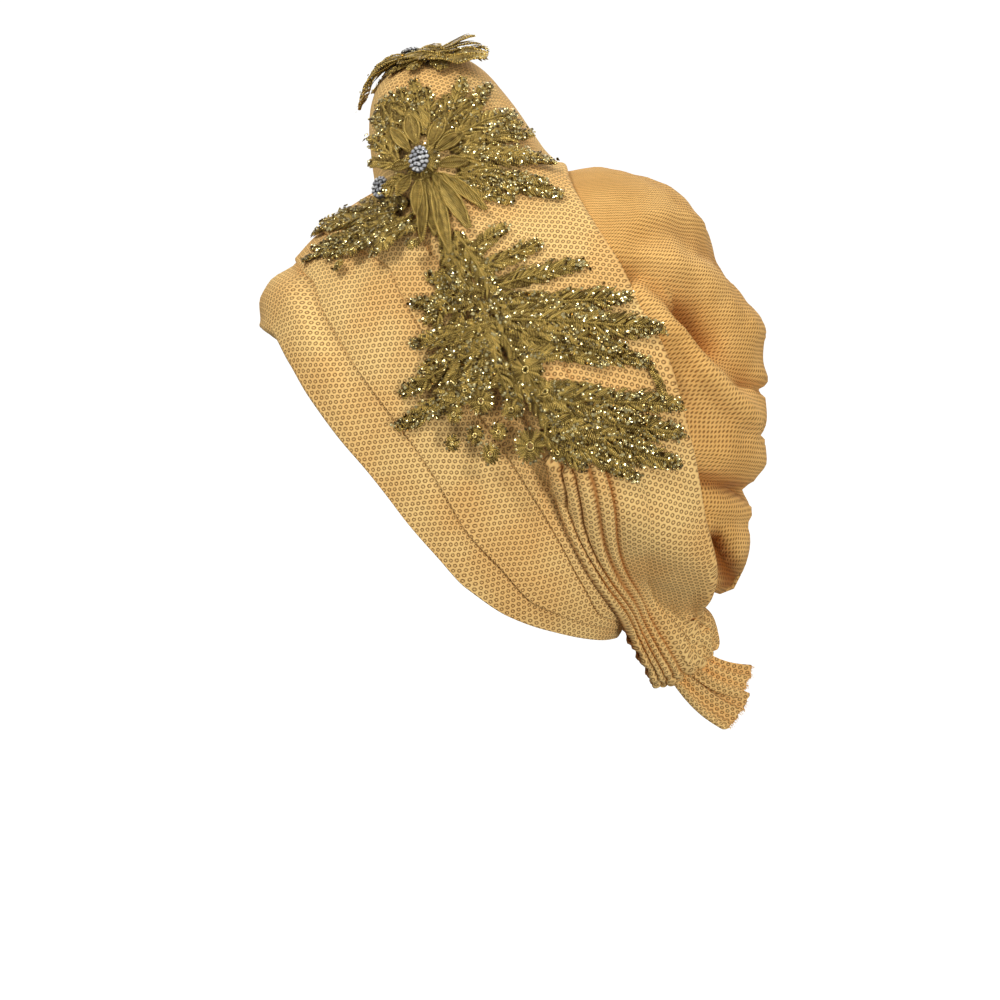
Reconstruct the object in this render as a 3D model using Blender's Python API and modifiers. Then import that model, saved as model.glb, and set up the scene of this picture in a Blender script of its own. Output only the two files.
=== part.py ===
"""Tied gele head tie: a cap with a full folded bag, bias wraps, a crossing sash with a tall peak, knot and lace.

Metres, +Z up. The face looks toward -Y and the wearer's left is +X. The origin is where the head's top sits.
Every cloth layer is a radial surface about the head's centre, so layers lie over each other in order.
"""

import math

import bmesh
import bpy
import numpy as np
from mathutils import Matrix, Vector
from mathutils.bvhtree import BVHTree

MM = 0.001

# Head hollow, half sizes about the head's centre
HEAD_HALF_WIDTH = 79 * MM
HEAD_FRONT = 111 * MM
HEAD_BACK = 84 * MM
HEAD_UP = 105 * MM
HEAD_DOWN = 151 * MM
HEAD_SQUARENESS = 2.5
FOREHEAD_ROUNDING = 0.35

# Cloth
BAG_WALL = 2.0 * MM
WRAP_WALL = 1.4 * MM
SASH_WALL = 2.0 * MM
TAIL_WALL = 1.6 * MM
LAYER_GAP = 1.0 * MM
FOLDED_GAP = 1.5 * MM
HIDDEN_LAP_ANGLE = 7.0
NAPE_LAP_ANGLE = 3.0
RIM_LAP_ANGLE = 1.0

# Bag: how far it stands off the head, and its folds
BAG_PUFF = 59 * MM
BAG_SIDE_POWER = 2.2
FOLD_SPAN = 100 * MM
FOLD_RISE = 6.5 * MM
FOLD_WIDTH = 9 * MM
FOLD_FADE = 12 * MM
SLOPE_STEP = 0.03
STEEPEST = 1.8

# Sash: height of the peak over the crown, small lifts and pleats
PEAK_RISE = 57 * MM
SASH_LIFT = 10 * MM
PLEAT_DEPTH = 2.2 * MM
WRAPS_END_AZIMUTH = 152.0
WRAPS_END_SHARE = 0.91

# Knot and tails
KNOT_HALF_WIDTH = 24 * MM
KNOT_HALF_DEPTH = 17.5 * MM
KNOT_HALF_HEIGHT = 20 * MM
KNOT_ELEVATION = -48.0
SEAT_GAP = 0.3 * MM
SEAT_ROOM = 6 * MM
TAIL_LENGTH = 36 * MM
TAIL_WIDTH = 30 * MM
TAIL_FOLD = 4 * MM

# Share of BAG_PUFF by angle in the side plane: 0 is the back, 90 the crown, 180 the face
PUFF = (
    (-180, 0), (-48, 0), (-43, 0.25), (-39, 0.62), (-35, 0.90), (-29, 0.93), (-20, 0.90),
    (-10, 0.89), (0, 0.93), (7, 0.95), (14, 0.92), (25, 0.84), (35, 0.81), (44, 0.77), (55, 0.59),
    (63, 0.43), (72, 0.26), (90, 0.12), (108, 0.04), (125, 0), (180, 0),
)

# Edge lines by azimuth from the face, elevation in degrees
RIM_LINE = (
    (0, 21.5), (22, 20), (31, 13), (38, 4), (47, -9), (53, -17), (59, -25), (66, -33.5), (74, -41),
    (85, -49), (102, -54.5), (116, -56), (155, -57.5), (180, -58),
)
BAND_LINE = (
    (0, 39), (30, 33), (39, 25), (46, 18), (53, 9), (60, 0), (66, -8), (75, -21), (86, -37), (96, -44),
    (111, -51.5), (140, -54.5), (180, -56),
)
WRAP_LINE = (
    (0, 48), (40, 44), (58, 39), (64, 32), (71, 23), (78, 14.5), (87, 1), (99, -16), (108, -28),
    (116, -37), (125, -45), (137, -51.5), (180, -54),
)

# Sash stations from the crown to the nape: its front and rear edge as azimuth and elevation, the lift of
# each edge and of the middle as shares of SASH_LIFT, the middle's share of PEAK_RISE, and the pleats' share
SASH_COLUMNS = (
    "share", "front_az", "front_el", "rear_az", "rear_el", "front_lift", "rear_lift", "hump", "peak", "pleat",
)
SASH = (
    (0.00, 0.0, 65.0, 180.0, 72.0, 0.0, 0.0, 0.0, 1.00, 0.0),
    (0.04, 17.0, 64.0, 166.0, 71.0, 0.0, 0.0, 0.0, 0.90, 0.0),
    (0.08, 34.0, 61.5, 150.0, 68.0, 0.0, 0.0, 0.1, 0.64, 0.0),
    (0.13, 50.0, 57.5, 136.0, 63.0, 0.0, 0.0, 0.3, 0.34, 0.0),
    (0.19, 62.0, 52.0, 128.0, 56.0, 0.0, 0.0, 0.6, 0.11, 0.0),
    (0.27, 75.0, 42.0, 125.0, 45.0, 0.0, 0.0, 0.7, 0.00, 0.0),
    (0.35, 87.0, 26.0, 127.5, 31.0, 0.0, 0.0, 0.4, 0.00, 0.1),
    (0.43, 97.0, 8.0, 132.0, 17.0, 0.0, 0.0, 0.25, 0.00, 0.3),
    (0.51, 104.5, -7.0, 136.0, 1.5, 0.0, 0.0, 0.2, 0.00, 0.6),
    (0.60, 111.0, -22.0, 140.0, -12.5, 0.0, 0.0, 0.2, 0.00, 0.9),
    (0.69, 118.0, -34.5, 144.5, -24.5, 0.0, 0.1, 0.2, 0.00, 1.0),
    (0.78, 128.5, -44.0, 151.0, -32.5, 0.0, 0.4, 0.2, 0.00, 1.0),
    (0.86, 144.0, -51.0, 158.0, -38.0, 0.1, 1.0, 0.1, 0.00, 1.0),
    (0.93, 162.0, -56.0, 167.0, -42.5, 0.1, 0.9, 0.1, 0.00, 0.8),
    (1.00, 180.0, -57.5, 180.0, -46.0, 0.1, 0.2, 0.0, 0.00, 0.3),
)
SASH_LIFTS = ("front_lift", "rear_lift", "hump", "peak", "pleat")
# The peak's height across the sash, front foot to rear foot
PEAK_ACROSS = (
    (0, 0), (0.04, 0.20), (0.09, 0.50), (0.14, 0.71), (0.20, 0.86), (0.28, 0.95), (0.38, 0.99), (0.50, 0.98),
    (0.58, 0.89), (0.67, 0.69), (0.80, 0.36), (0.90, 0.13), (1, 0),
)
PLEAT_CREASES = ((0.0, 0.05), (0.146, 0.05), (0.37, 0.06))

# Bag folds in the side plane about the head's centre, y and z as shares of FOLD_SPAN
FOLD_COLUMNS = ("height", "width", "right", "start", "middle", "end")
FOLDS = (
    (0.60, 1.3, 0.9, (0.58, 0.68), (0.89, 0.65), (1.30, 0.37)),
    (-0.35, 1.3, 0.6, (0.84, 0.71), (1.02, 0.79), (1.29, 0.57)),
    (-0.65, 1.1, 1.0, (0.62, 0.58), (0.82, 0.46), (1.02, 0.28)),
    (0.95, 1.1, 1.0, (0.77, 0.47), (1.05, 0.18), (1.37, -0.21)),
    (-0.60, 1.0, 0.8, (1.03, 0.35), (1.22, 0.09), (1.42, 0.03)),
    (-0.55, 1.2, 0.9, (0.86, 0.16), (1.00, -0.05), (1.25, -0.14)),
    (0.45, 1.3, 1.0, (0.96, -0.18), (1.16, -0.23), (1.41, -0.27)),
    (-1.10, 1.0, 0.9, (1.01, -0.33), (1.18, -0.37), (1.38, -0.41)),
    (0.60, 1.6, 1.0, (1.01, -0.44), (1.20, -0.61), (1.33, -0.76)),
    (-0.60, 0.9, 0.7, (1.09, -0.66), (1.14, -0.75), (1.21, -0.88)),
)

# Lace
LACE_WALL = 1.2 * MM
LACE_GAP = 0.8 * MM
LACE_EDGE = 13 * MM
LACE_LOOK = 5.5 * MM
LACE_SLIT = 6.0 * MM
LACE_SPAN = 80 * MM

# Each motif: its middle's azimuth and elevation, the way it faces, how far its rim may fall behind the
# middle as a share of LACE_SPAN, and its leaves as angle and reach in shares of LACE_SPAN
LACE_COLUMNS = ("name", "azimuth", "elevation", "facing", "fall", "leaves")
LACES = (
    ("lace_lower", 102.5, 13.3, (0.97, -0.10, 0.22), 0.45, (
        (-165, 0.78), (-151, 0.86), (-128, 0.73), (-108, 0.69), (-89, 0.62), (-64, 0.74), (-49, 0.97),
        (-36, 1.04), (-22, 0.90), (-4, 0.56), (12, 0.78), (27, 0.70), (45, 0.58), (62, 0.62), (82, 0.66),
        (100, 0.76), (130, 0.58), (153, 0.74), (173, 0.68),
    )),
    ("lace_upper", 69.0, 59.6, (0.86, -0.10, 0.50), 0.50, (
        (-137, 0.33), (-112, 0.42), (-92, 0.54), (-72, 0.60), (-50, 0.50), (-19, 0.80), (-4, 0.66),
        (20, 0.66), (42, 0.72), (60, 0.70), (78, 0.70), (104, 0.58), (126, 0.62), (150, 0.42), (-172, 0.34),
    )),
    ("lace_front", 41.0, 47.5, (0.50, -0.60, 0.62), 0.35, (
        (-150, 0.44), (-118, 0.34), (-85, 0.28), (-50, 0.30), (-20, 0.36), (130, 0.30), (156, 0.60),
        (177, 0.68),
    )),
    ("lace_crest", 14.0, 81.0, (0.30, -0.20, 0.93), 1.30, (
        (-40, 0.30), (-70, 0.27), (-98, 0.25), (-128, 0.28), (-156, 0.36), (176, 0.40), (142, 0.26),
        (95, 0.18), (50, 0.20), (6, 0.44),
    )),
)
SLIT_FROM = 0.40

# Brooches: the lace they sit on, their place on it in shares of LACE_SPAN, and their size
STONE_RADIUS = 1.4 * MM
STONE_PITCH = 3.2 * MM
STONE_HEIGHT = 1.1 * MM
STONE_SUNK = 0.3 * MM
SETTING_HEIGHT = 1.2 * MM
BROOCH_GAP = 0.4 * MM
BROOCH_COLUMNS = ("name", "motif", "right", "up", "half_width", "half_length")
BROOCHES = (
    ("brooch_upper", "lace_upper", -0.03, 0.00, 5.6 * MM, 7.6 * MM),
    ("brooch_front", "lace_upper", -0.28, -0.02, 4.2 * MM, 6.4 * MM),
    ("brooch_crest", "lace_crest", -0.12, 0.02, 4.2 * MM, 5.0 * MM),
)

CLOTH = (0.72, 0.40, 0.13)
BAG_CLOTH = (0.68, 0.35, 0.10)
LACE_GOLD = (0.30, 0.21, 0.04)
STONE = (0.80, 0.80, 0.78)


def smooth(points, x):
    """Values at x of a smooth curve without overshoot through (place, value) points."""
    places, values = np.array(points, float).T
    step = np.diff(places)
    rise = np.diff(values) / step
    both = rise[1:] * rise[:-1]
    total = np.where(both > 0, rise[1:] + rise[:-1], 1.0)
    slope = np.zeros(len(places))
    slope[1:-1] = np.where(both > 0, 2 * both / total, 0.0)
    x = np.clip(x, places[0], places[-1])
    i = np.clip(np.searchsorted(places, x) - 1, 0, len(places) - 2)
    t = (x - places[i]) / step[i]
    keep = (1 + 2 * t) * (1 - t) ** 2
    turn = t * (1 - t) * step[i]
    return (values[i] * keep + values[i + 1] * (1 - keep)
            + turn * ((1 - t) * slope[i] - t * slope[i + 1]))


def directions(azimuth, elevation):
    """Unit directions from azimuths about the face and elevations, both in degrees."""
    azimuth, elevation = np.radians(azimuth), np.radians(elevation)
    flat = np.cos(elevation)
    return np.stack([flat * np.sin(azimuth), -flat * np.cos(azimuth), np.sin(elevation)], axis=-1)


def unit(vectors):
    return vectors / np.linalg.norm(vectors, axis=-1, keepdims=True)


def head_radius(d):
    """Radius of the head hollow in each direction."""
    deep = np.where(d[..., 1] < 0, HEAD_FRONT, HEAD_BACK)
    high = np.where(d[..., 2] > 0, HEAD_UP, HEAD_DOWN)
    n = HEAD_SQUARENESS - FOREHEAD_ROUNDING * smooth(((0, 0), (0.6, 1)), -d[..., 1])
    wide = (np.abs(d[..., 0]) / HEAD_HALF_WIDTH) ** n
    return (wide + (np.abs(d[..., 1]) / deep) ** n + (np.abs(d[..., 2]) / high) ** n) ** (-1 / n)


def bag_puff(d):
    """How far the bag's smooth shape stands off the head."""
    side_angle = np.degrees(np.arctan2(d[..., 2], d[..., 1]))
    narrowing = (1 - np.abs(d[..., 0]) ** BAG_SIDE_POWER) ** 0.95
    return BAG_PUFF * smooth(PUFF, side_angle) * narrowing


def named(rows, columns):
    """Each column of a table by its name, as an array."""
    return {name: np.array([row[i] for row in rows], float) for i, name in enumerate(columns)}


SASH_TABLE = named(SASH, SASH_COLUMNS)


def sash_edge(share, side):
    """Directions of the sash's front or rear edge, at shares of the way from the crown to the nape."""
    edge = directions(SASH_TABLE[side + "_az"], SASH_TABLE[side + "_el"])
    axes = [smooth(list(zip(SASH_TABLE["share"], edge[:, k])), share) for k in range(3)]
    return unit(np.stack(axes, axis=-1))


def rear_edge_line():
    """The sash's rear edge in the side plane as (height, depth) points, lowest first."""
    edge = sash_edge(np.linspace(0, 0.9, 19), "rear")
    place = edge * (head_radius(edge) + bag_puff(edge))[:, None]
    return sorted(zip(place[:, 2], place[:, 1]))


REAR_EDGE = rear_edge_line()


def bag_folds(d):
    """Height of the bag's folds, which start at the sash and fade where the bag meets the head."""
    puff = bag_puff(d)
    place = d[..., 1:] * (head_radius(d) + puff)[..., None]
    total = np.zeros(d.shape[:-1])
    along = np.linspace(0, 1, 21)
    for height, width, right, start, middle, end in FOLDS:
        a, b, c = (np.array(point) * FOLD_SPAN for point in (start, middle, end))
        bend = 2 * b - (a + c) / 2
        line = np.outer((1 - along) ** 2, a) + np.outer(2 * along * (1 - along), bend) + np.outer(along ** 2, c)
        away = np.linalg.norm(place[..., None, :] - line, axis=-1)
        side = np.where(d[..., 0] < 0, right, 1.0)
        total += side * height * np.exp(-(away.min(axis=-1) / (width * FOLD_WIDTH)) ** 2)
    past_sash = (place[..., 0] - smooth(REAR_EDGE, place[..., 1])) / FOLD_FADE
    return FOLD_RISE * total * np.clip(past_sash, 0, 1) * np.clip(puff / FOLD_FADE - 0.3, 0, 1)


def bag_radius(d):
    return head_radius(d) + bag_puff(d) + bag_folds(d)


def cover_radius(d, rise):
    """Radius that stands off the smooth bag and head by a rise measured square to the surface."""
    base = head_radius(d) + bag_puff(d)
    level = unit(np.stack([-d[..., 1], d[..., 0] + 1e-9, np.zeros(d.shape[:-1])], axis=-1))
    slant = 1.0
    for tangent in (level, np.cross(d, level)):
        near = unit(d + SLOPE_STEP * tangent)
        slant = slant + ((head_radius(near) + bag_puff(near) - base) / (SLOPE_STEP * base)) ** 2
    return base + rise * np.minimum(np.sqrt(slant), STEEPEST)


LAYER = WRAP_WALL + LAYER_GAP
BAND_RISE = BAG_WALL + LAYER_GAP
WRAP_LOWER_RISE = BAND_RISE + LAYER
WRAP_UPPER_RISE = WRAP_LOWER_RISE + LAYER
SASH_FRONT_RISE = WRAP_UPPER_RISE + LAYER
SASH_REAR_RISE = BAG_WALL + FOLDED_GAP
NAPE_RISE = BAND_RISE + LAYER


def sash_place(share, across):
    """Directions and radii of the sash's inner face, share below 0 on the wearer's right."""
    way = np.abs(share)
    front, rear = sash_edge(way, "front"), sash_edge(way, "rear")
    angle = np.arccos(np.clip((front * rear).sum(-1), -1, 1))[..., None]
    v = across[..., None]
    d = (front * np.sin((1 - v) * angle) + rear * np.sin(v * angle)) / np.sin(angle)
    d[..., 0] *= np.where(share < 0, -1, 1)
    row = {name: smooth(list(zip(SASH_TABLE["share"], SASH_TABLE[name])), way) for name in SASH_LIFTS}
    arch = (1 - np.abs(2 * across - 1) ** 2.6) ** (1 / 2.6)
    past_wraps = np.clip((across - 0.25) / 0.35, 0, 1) * np.clip((0.9 - way) / 0.1, 0, 1)
    under = SASH_FRONT_RISE + (SASH_REAR_RISE - SASH_FRONT_RISE) * past_wraps
    under = under + (NAPE_RISE - under) * smooth(((WRAPS_END_SHARE, 0), (1, 1)), way)
    lift = row["front_lift"] * (1 - across) + row["rear_lift"] * across + row["hump"] * arch
    crease = sum(np.exp(-((across - at) / width) ** 2) for at, width in PLEAT_CREASES)
    radius = cover_radius(d, under) + SASH_LIFT * lift + PEAK_RISE * row["peak"] * smooth(PEAK_ACROSS, across)
    return d, radius + PLEAT_DEPTH * row["pleat"] * (1.1 - crease)


def material(name, colour, roughness=0.85, metallic=0.0):
    made = bpy.data.materials.new(name)
    made.use_nodes = True
    shader = made.node_tree.nodes["Principled BSDF"]
    shader.inputs["Base Color"].default_value = (*colour, 1.0)
    shader.inputs["Roughness"].default_value = roughness
    shader.inputs["Metallic"].default_value = metallic
    return made


def finish(name, mesh, colour, roughness=0.85, metallic=0.0):
    """Puts a mesh in the collection as a named object with its own material."""
    mesh.materials.append(material(name, colour, roughness, metallic))
    piece = bpy.data.objects.new(name, mesh)
    bpy.data.collections["head_tie"].objects.link(piece)
    return piece


def thicken(piece, wall):
    """Gives an open sheet its wall, outward, on triangles that follow its curve."""
    triangles = piece.modifiers.new("Triangles", "TRIANGULATE")
    triangles.quad_method = "SHORTEST_DIAGONAL"
    solidify = piece.modifiers.new("Wall", "SOLIDIFY")
    solidify.thickness = wall
    solidify.offset = 1.0
    solidify.use_even_offset = True
    solidify.use_quality_normals = True
    return piece


def place_verts(bm, points):
    for vert, point in zip(bm.verts, points):
        vert.co = point
    bmesh.ops.remove_doubles(bm, verts=bm.verts, dist=0.05 * MM)


def outward(bm, centre):
    """Turns an open sheet's faces so that they look away from the centre."""
    bmesh.ops.recalc_face_normals(bm, faces=bm.faces)
    facing = sum(face.normal.dot(face.calc_center_median() - centre) for face in bm.faces)
    if facing < 0:
        bmesh.ops.reverse_faces(bm, faces=bm.faces)


def to_mesh(bm, name):
    mesh = bpy.data.meshes.new(name)
    bm.to_mesh(mesh)
    bm.free()
    return mesh


def sheet(name, columns, rows, place, wall, colour):
    """A cloth sheet from a grid: place gives the points for shares along and across, ends that meet are joined."""
    bm = bmesh.new()
    bmesh.ops.create_grid(bm, x_segments=columns, y_segments=rows, size=0.5)
    shares = np.array([(vert.co.x + 0.5, vert.co.y + 0.5) for vert in bm.verts])
    place_verts(bm, place(shares[:, 0], shares[:, 1]))
    outward(bm, HEAD_CENTRE)
    return thicken(finish(name, to_mesh(bm, name), colour), wall)


HEAD_CENTRE = Vector((0, 0, -HEAD_UP))


def on_head(d, radius):
    return d * radius[..., None] + np.array(HEAD_CENTRE)


def full_azimuth(azimuth):
    """The azimuth from 0 at the face to 180 at the back, on either side."""
    return np.abs((azimuth + 180) % 360 - 180)


def make_crown_bag():
    """The cap and its bag: a sphere without its lower pole, drawn onto the radial surface."""
    around, rings = 44, 25
    bm = bmesh.new()
    bmesh.ops.create_uvsphere(bm, u_segments=around, v_segments=rings, radius=1.0)
    bmesh.ops.delete(bm, geom=[vert for vert in bm.verts if vert.co.z < -0.9999], context="VERTS")
    ball = np.array([vert.co for vert in bm.verts])
    turn = np.degrees(np.arctan2(ball[:, 0], -ball[:, 1]))
    azimuth = turn + 20 * np.sin(np.radians(turn))
    up = 90 - np.degrees(np.arccos(np.clip(ball[:, 2], -1, 1)))
    lowest = -90 + 180 / rings
    rim = smooth(RIM_LINE, full_azimuth(azimuth))
    elevation = rim + (90 - rim) * (up - lowest) / (90 - lowest)
    d = directions(azimuth, elevation)
    for vert, point in zip(bm.verts, on_head(d, bag_radius(d))):
        vert.co = point
    outward(bm, HEAD_CENTRE)
    return thicken(finish("crown_bag", to_mesh(bm, "crown_bag"), BAG_CLOTH), BAG_WALL)


def make_wrap(name, lower, upper, rise, reach=180.0):
    """A band round the head from its lower edge line to its hidden upper edge, as far back as it reaches."""
    def place(along, across):
        turned = reach * (2 * along - 1)
        low, high = lower(full_azimuth(turned)), upper(full_azimuth(turned))
        d = directions(turned, low + (high - low) * across)
        return on_head(d, cover_radius(d, rise))
    return sheet(name, 38, 3, place, WRAP_WALL, CLOTH)


def rim_line(azimuth):
    return smooth(RIM_LINE, azimuth)


def band_line(azimuth):
    return smooth(BAND_LINE, azimuth)


def wrap_line(azimuth):
    return smooth(WRAP_LINE, azimuth)


def sash_line(azimuth):
    """Elevation of the sash's front edge by azimuth."""
    return smooth(list(zip(SASH_TABLE["front_az"], SASH_TABLE["front_el"])), azimuth)


def hidden_lap(azimuth):
    """How far a layer runs on beneath the next one, less at the nape."""
    return NAPE_LAP_ANGLE + (HIDDEN_LAP_ANGLE - NAPE_LAP_ANGLE) * smooth(((110, 1), (150, 0)), azimuth)


def band_top(azimuth):
    return band_line(azimuth) + hidden_lap(azimuth) * 0.6


def wrap_lower_top(azimuth):
    return wrap_line(azimuth) + hidden_lap(azimuth)


def wrap_upper_top(azimuth):
    return np.maximum(sash_line(azimuth), wrap_line(azimuth) + 1) + hidden_lap(azimuth)


def make_wraps():
    make_wrap("face_band", lambda azimuth: rim_line(azimuth) - RIM_LAP_ANGLE, band_top, BAND_RISE)
    make_wrap("wrap_lower", band_line, wrap_lower_top, WRAP_LOWER_RISE, WRAPS_END_AZIMUTH)
    make_wrap("wrap_upper", wrap_line, wrap_upper_top, WRAP_UPPER_RISE, WRAPS_END_AZIMUTH)


def make_sash():
    """The sash from the nape over the crown and back, with its hollow peak."""
    def place(along, across):
        share = 2 * along - 1
        return on_head(*sash_place(share, (1 - np.cos(np.pi * across)) / 2))
    return sheet("sash", 44, 12, place, SASH_WALL, CLOTH)


def tree_of(names):
    """The evaluated surfaces of some pieces as one search tree."""
    graph = bpy.context.evaluated_depsgraph_get()
    points, faces = [], []
    for name in names:
        mesh = bpy.data.objects[name].evaluated_get(graph).to_mesh()
        start = len(points)
        points += [vert.co.copy() for vert in mesh.vertices]
        faces += [[start + i for i in face.vertices] for face in mesh.polygons]
    return BVHTree.FromPolygons(points, faces)


def corners_of(name):
    graph = bpy.context.evaluated_depsgraph_get()
    return [vert.co.copy() for vert in bpy.data.objects[name].evaluated_get(graph).to_mesh().vertices]


def seat(name, carrier, way):
    """Moves a piece back along its way until it nearly touches what carries it."""
    there, here = tree_of([carrier]), tree_of([name])
    room = [there.ray_cast(corner, -way)[3] for corner in corners_of(name)]
    room += [here.ray_cast(corner, way)[3] for corner in corners_of(carrier)]
    shift = min(far for far in room if far is not None) - SEAT_GAP
    bpy.data.objects[name].data.transform(Matrix.Translation(-shift * way))
    bpy.context.view_layer.update()
    return -shift * way


def knot_middle():
    """The knot's middle, outside the sash at the nape and still with room to it."""
    _, radius = sash_place(np.full(9, 1.0), np.linspace(0, 1, 9))
    off = radius.max() + SASH_WALL + SEAT_ROOM + KNOT_HALF_DEPTH
    return HEAD_CENTRE + Vector(directions(180.0, KNOT_ELEVATION)) * off


def knot_bulge(ball):
    """Share by which the gathers and the two dents change the knot's radius."""
    around = np.arctan2(ball[:, 2], ball[:, 0])
    gather = 0.05 * np.cos(5 * around + 2 * ball[:, 1])
    dents = ((0.35, 0.75, 0.55, 0.14), (0.10, 0.90, -0.35, 0.16))
    for x, y, z, deep in dents:
        near = np.linalg.norm(ball - unit(np.array([x, y, z])), axis=1)
        gather = gather - deep * np.exp(-(near / 0.35) ** 2)
    return 1 + gather


def make_knot():
    bm = bmesh.new()
    bmesh.ops.create_uvsphere(bm, u_segments=16, v_segments=11, radius=1.0)
    ball = np.array([vert.co for vert in bm.verts])
    half = np.array([KNOT_HALF_WIDTH, KNOT_HALF_DEPTH, KNOT_HALF_HEIGHT])
    points = ball * half * np.minimum(knot_bulge(ball), 1.0)[:, None]
    lean = Matrix.Rotation(math.radians(KNOT_ELEVATION), 3, "X")
    middle = knot_middle()
    for vert, point in zip(bm.verts, points):
        vert.co = middle + lean @ Vector(point)
    finish("knot", to_mesh(bm, "knot"), CLOTH)
    return middle + seat("knot", "sash", Vector(directions(180.0, KNOT_ELEVATION)))


# Each tail's start on the knot and its end, as (y, z) shares of the knot's half sizes and of TAIL_LENGTH
TAIL_COLUMNS = ("name", "root_y", "root_z", "run_y", "run_z", "side", "width")
TAILS = (
    ("tail_upper", 1.10, -0.80, 0.70, -0.42, 0.10, 0.75),
    ("tail_lower", 0.75, -1.50, 0.80, -0.55, -0.05, 1.0),
)


def make_tail(middle, name, root_y, root_z, run_y, run_z, side, width):
    """A short gathered strip that leaves the knot and widens to its frayed end."""
    root = np.array(middle) + [side * TAIL_WIDTH, root_y * KNOT_HALF_DEPTH, root_z * KNOT_HALF_HEIGHT]
    run = np.array([0, run_y, run_z]) * TAIL_LENGTH
    off = np.cross(run, [1, 0, 0])
    off = off / np.linalg.norm(off)

    def place(along, across):
        spread = (0.55 + 0.45 * along) * width * TAIL_WIDTH
        fold = TAIL_FOLD * np.cos(3 * math.pi * across) * (0.5 + 0.5 * along)
        sag = -0.12 * TAIL_LENGTH * along * (1 - along)
        x = ((across - 0.5) * spread)[:, None] * np.array([1, 0, 0])
        return root + np.outer(along, run) + x + np.outer(fold, off) + np.outer(sag, [0, 0, 1])
    sheet(name, 5, 9, place, TAIL_WALL, CLOTH)
    seat(name, "knot", Vector(run).normalized())


class Facing:
    """A flat place over the cloth, with its middle on the cloth and directions right, up and out."""

    def __init__(self, cloth, azimuth, elevation, facing):
        self.out = Vector(facing).normalized()
        self.right = Vector((0, 0, 1)).cross(self.out).normalized()
        self.up = self.out.cross(self.right)
        way = Vector(directions(azimuth, elevation))
        self.middle = cloth.ray_cast(HEAD_CENTRE + way * LOOK_FROM, -way)[0]

    def point(self, right, up, out=0.0):
        return self.middle + self.right * right + self.up * up + self.out * out

    def height(self, tree, right, up):
        """Height of the surface over this place, and its slopes to the right and up."""
        found, normal, _, _ = tree.ray_cast(self.point(right, up, LOOK_FROM), -self.out)
        if found is None:
            return None
        steep = max(normal.dot(self.out), 0.3)
        return (found - self.middle).dot(self.out), -normal.dot(self.right) / steep, -normal.dot(self.up) / steep

    def resting(self, tree, right, up, lowest):
        """Height that clears every step of the surface near this place."""
        here = self.height(tree, right, up)
        if here is None or here[0] < lowest:
            return lowest
        clear = 0.0
        for turn in range(8):
            x = LACE_LOOK * math.cos(turn * math.pi / 4)
            y = LACE_LOOK * math.sin(turn * math.pi / 4)
            near = self.height(tree, right + x, up + y)
            if near is not None:
                clear = max(clear, near[0] - here[0] - here[1] * x - here[2] * y)
        return here[0] + clear


LOOK_FROM = 0.3


def polar(angle, reach):
    return reach * math.cos(math.radians(angle)), reach * math.sin(math.radians(angle))


def leaf_outline(leaves):
    """Outline of a motif: each leaf has a tooth on both sides of its tip, with a notch after it."""
    points = []
    for i, (angle, reach) in enumerate(leaves):
        after, next_reach = leaves[(i + 1) % len(leaves)]
        turn = (after - angle) % 360 if leaves[0][0] < leaves[1][0] else -((angle - after) % 360)
        before = leaves[i - 1][0]
        back = (angle - before) % 360 if leaves[0][0] < leaves[1][0] else -((before - angle) % 360)
        points += [polar(angle - 0.28 * back, 0.80 * reach), polar(angle, reach)]
        points += [polar(angle + 0.28 * turn, 0.80 * reach)]
        points += [polar(angle + 0.5 * turn, 0.66 * min(reach, next_reach))]
    return [(x * LACE_SPAN, y * LACE_SPAN) for x, y in points]


def slit_outline(angle, reach):
    """A pierced slit along a leaf's rib."""
    start = SLIT_FROM * reach * LACE_SPAN
    half = LACE_SLIT / 2
    turn = math.radians(angle)
    across, along = Vector((-math.sin(turn), math.cos(turn))), Vector((math.cos(turn), math.sin(turn)))
    corners = ((0, 0), (half, -0.22), (2 * half, 0), (half, 0.22))
    return [along * (start + far) + across * side * half for far, side in corners]


def flat_lace(name, leaves):
    """The motif lying flat, as an open mesh with its slits cut through."""
    curve = bpy.data.curves.new(name + "_flat", "CURVE")
    curve.dimensions = "2D"
    curve.fill_mode = "BOTH"
    slits = [slit_outline(angle, reach) for angle, reach in leaves[::2]]
    for outline in [leaf_outline(leaves)] + slits:
        spline = curve.splines.new("POLY")
        spline.points.add(len(outline) - 1)
        for point, place in zip(spline.points, outline):
            point.co = (place[0], place[1], 0, 1)
        spline.use_cyclic_u = True
    flat = bpy.data.objects.new(name + "_flat", curve)
    mesh = bpy.data.meshes.new_from_object(flat)
    bpy.data.objects.remove(flat)
    return mesh


def even_triangles(bm):
    """Splits the long edges of a flat mesh and turns the rest for well-shaped triangles."""
    for _ in range(3):
        inner = [edge for edge in bm.edges if not edge.is_boundary]
        bmesh.ops.beautify_fill(bm, faces=bm.faces, edges=inner)
        long = [edge for edge in bm.edges if edge.calc_length() > LACE_EDGE]
        bmesh.ops.subdivide_edges(bm, edges=long, cuts=1)
        bmesh.ops.triangulate(bm, faces=bm.faces)


def lift_clear(bm, place, cloth):
    """Raises the faces that come too near the cloth between their corners."""
    for _ in range(5):
        raised = {}
        for face in bm.faces:
            ends = [vert.co for vert in face.verts]
            spots = [sum(ends, Vector()) / 3]
            spots += [ends[i].lerp(ends[i - 1], share) for i in range(3) for share in (0.25, 0.5, 0.75)]
            for spot in spots:
                found = cloth.ray_cast(spot + place.out * LOOK_FROM, -place.out)[0]
                if found is not None:
                    short = LACE_GAP - (spot - found).dot(place.out)
                    for vert in face.verts:
                        raised[vert] = max(raised.get(vert, 0.0), short)
        for vert, short in raised.items():
            vert.co += place.out * short


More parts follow.
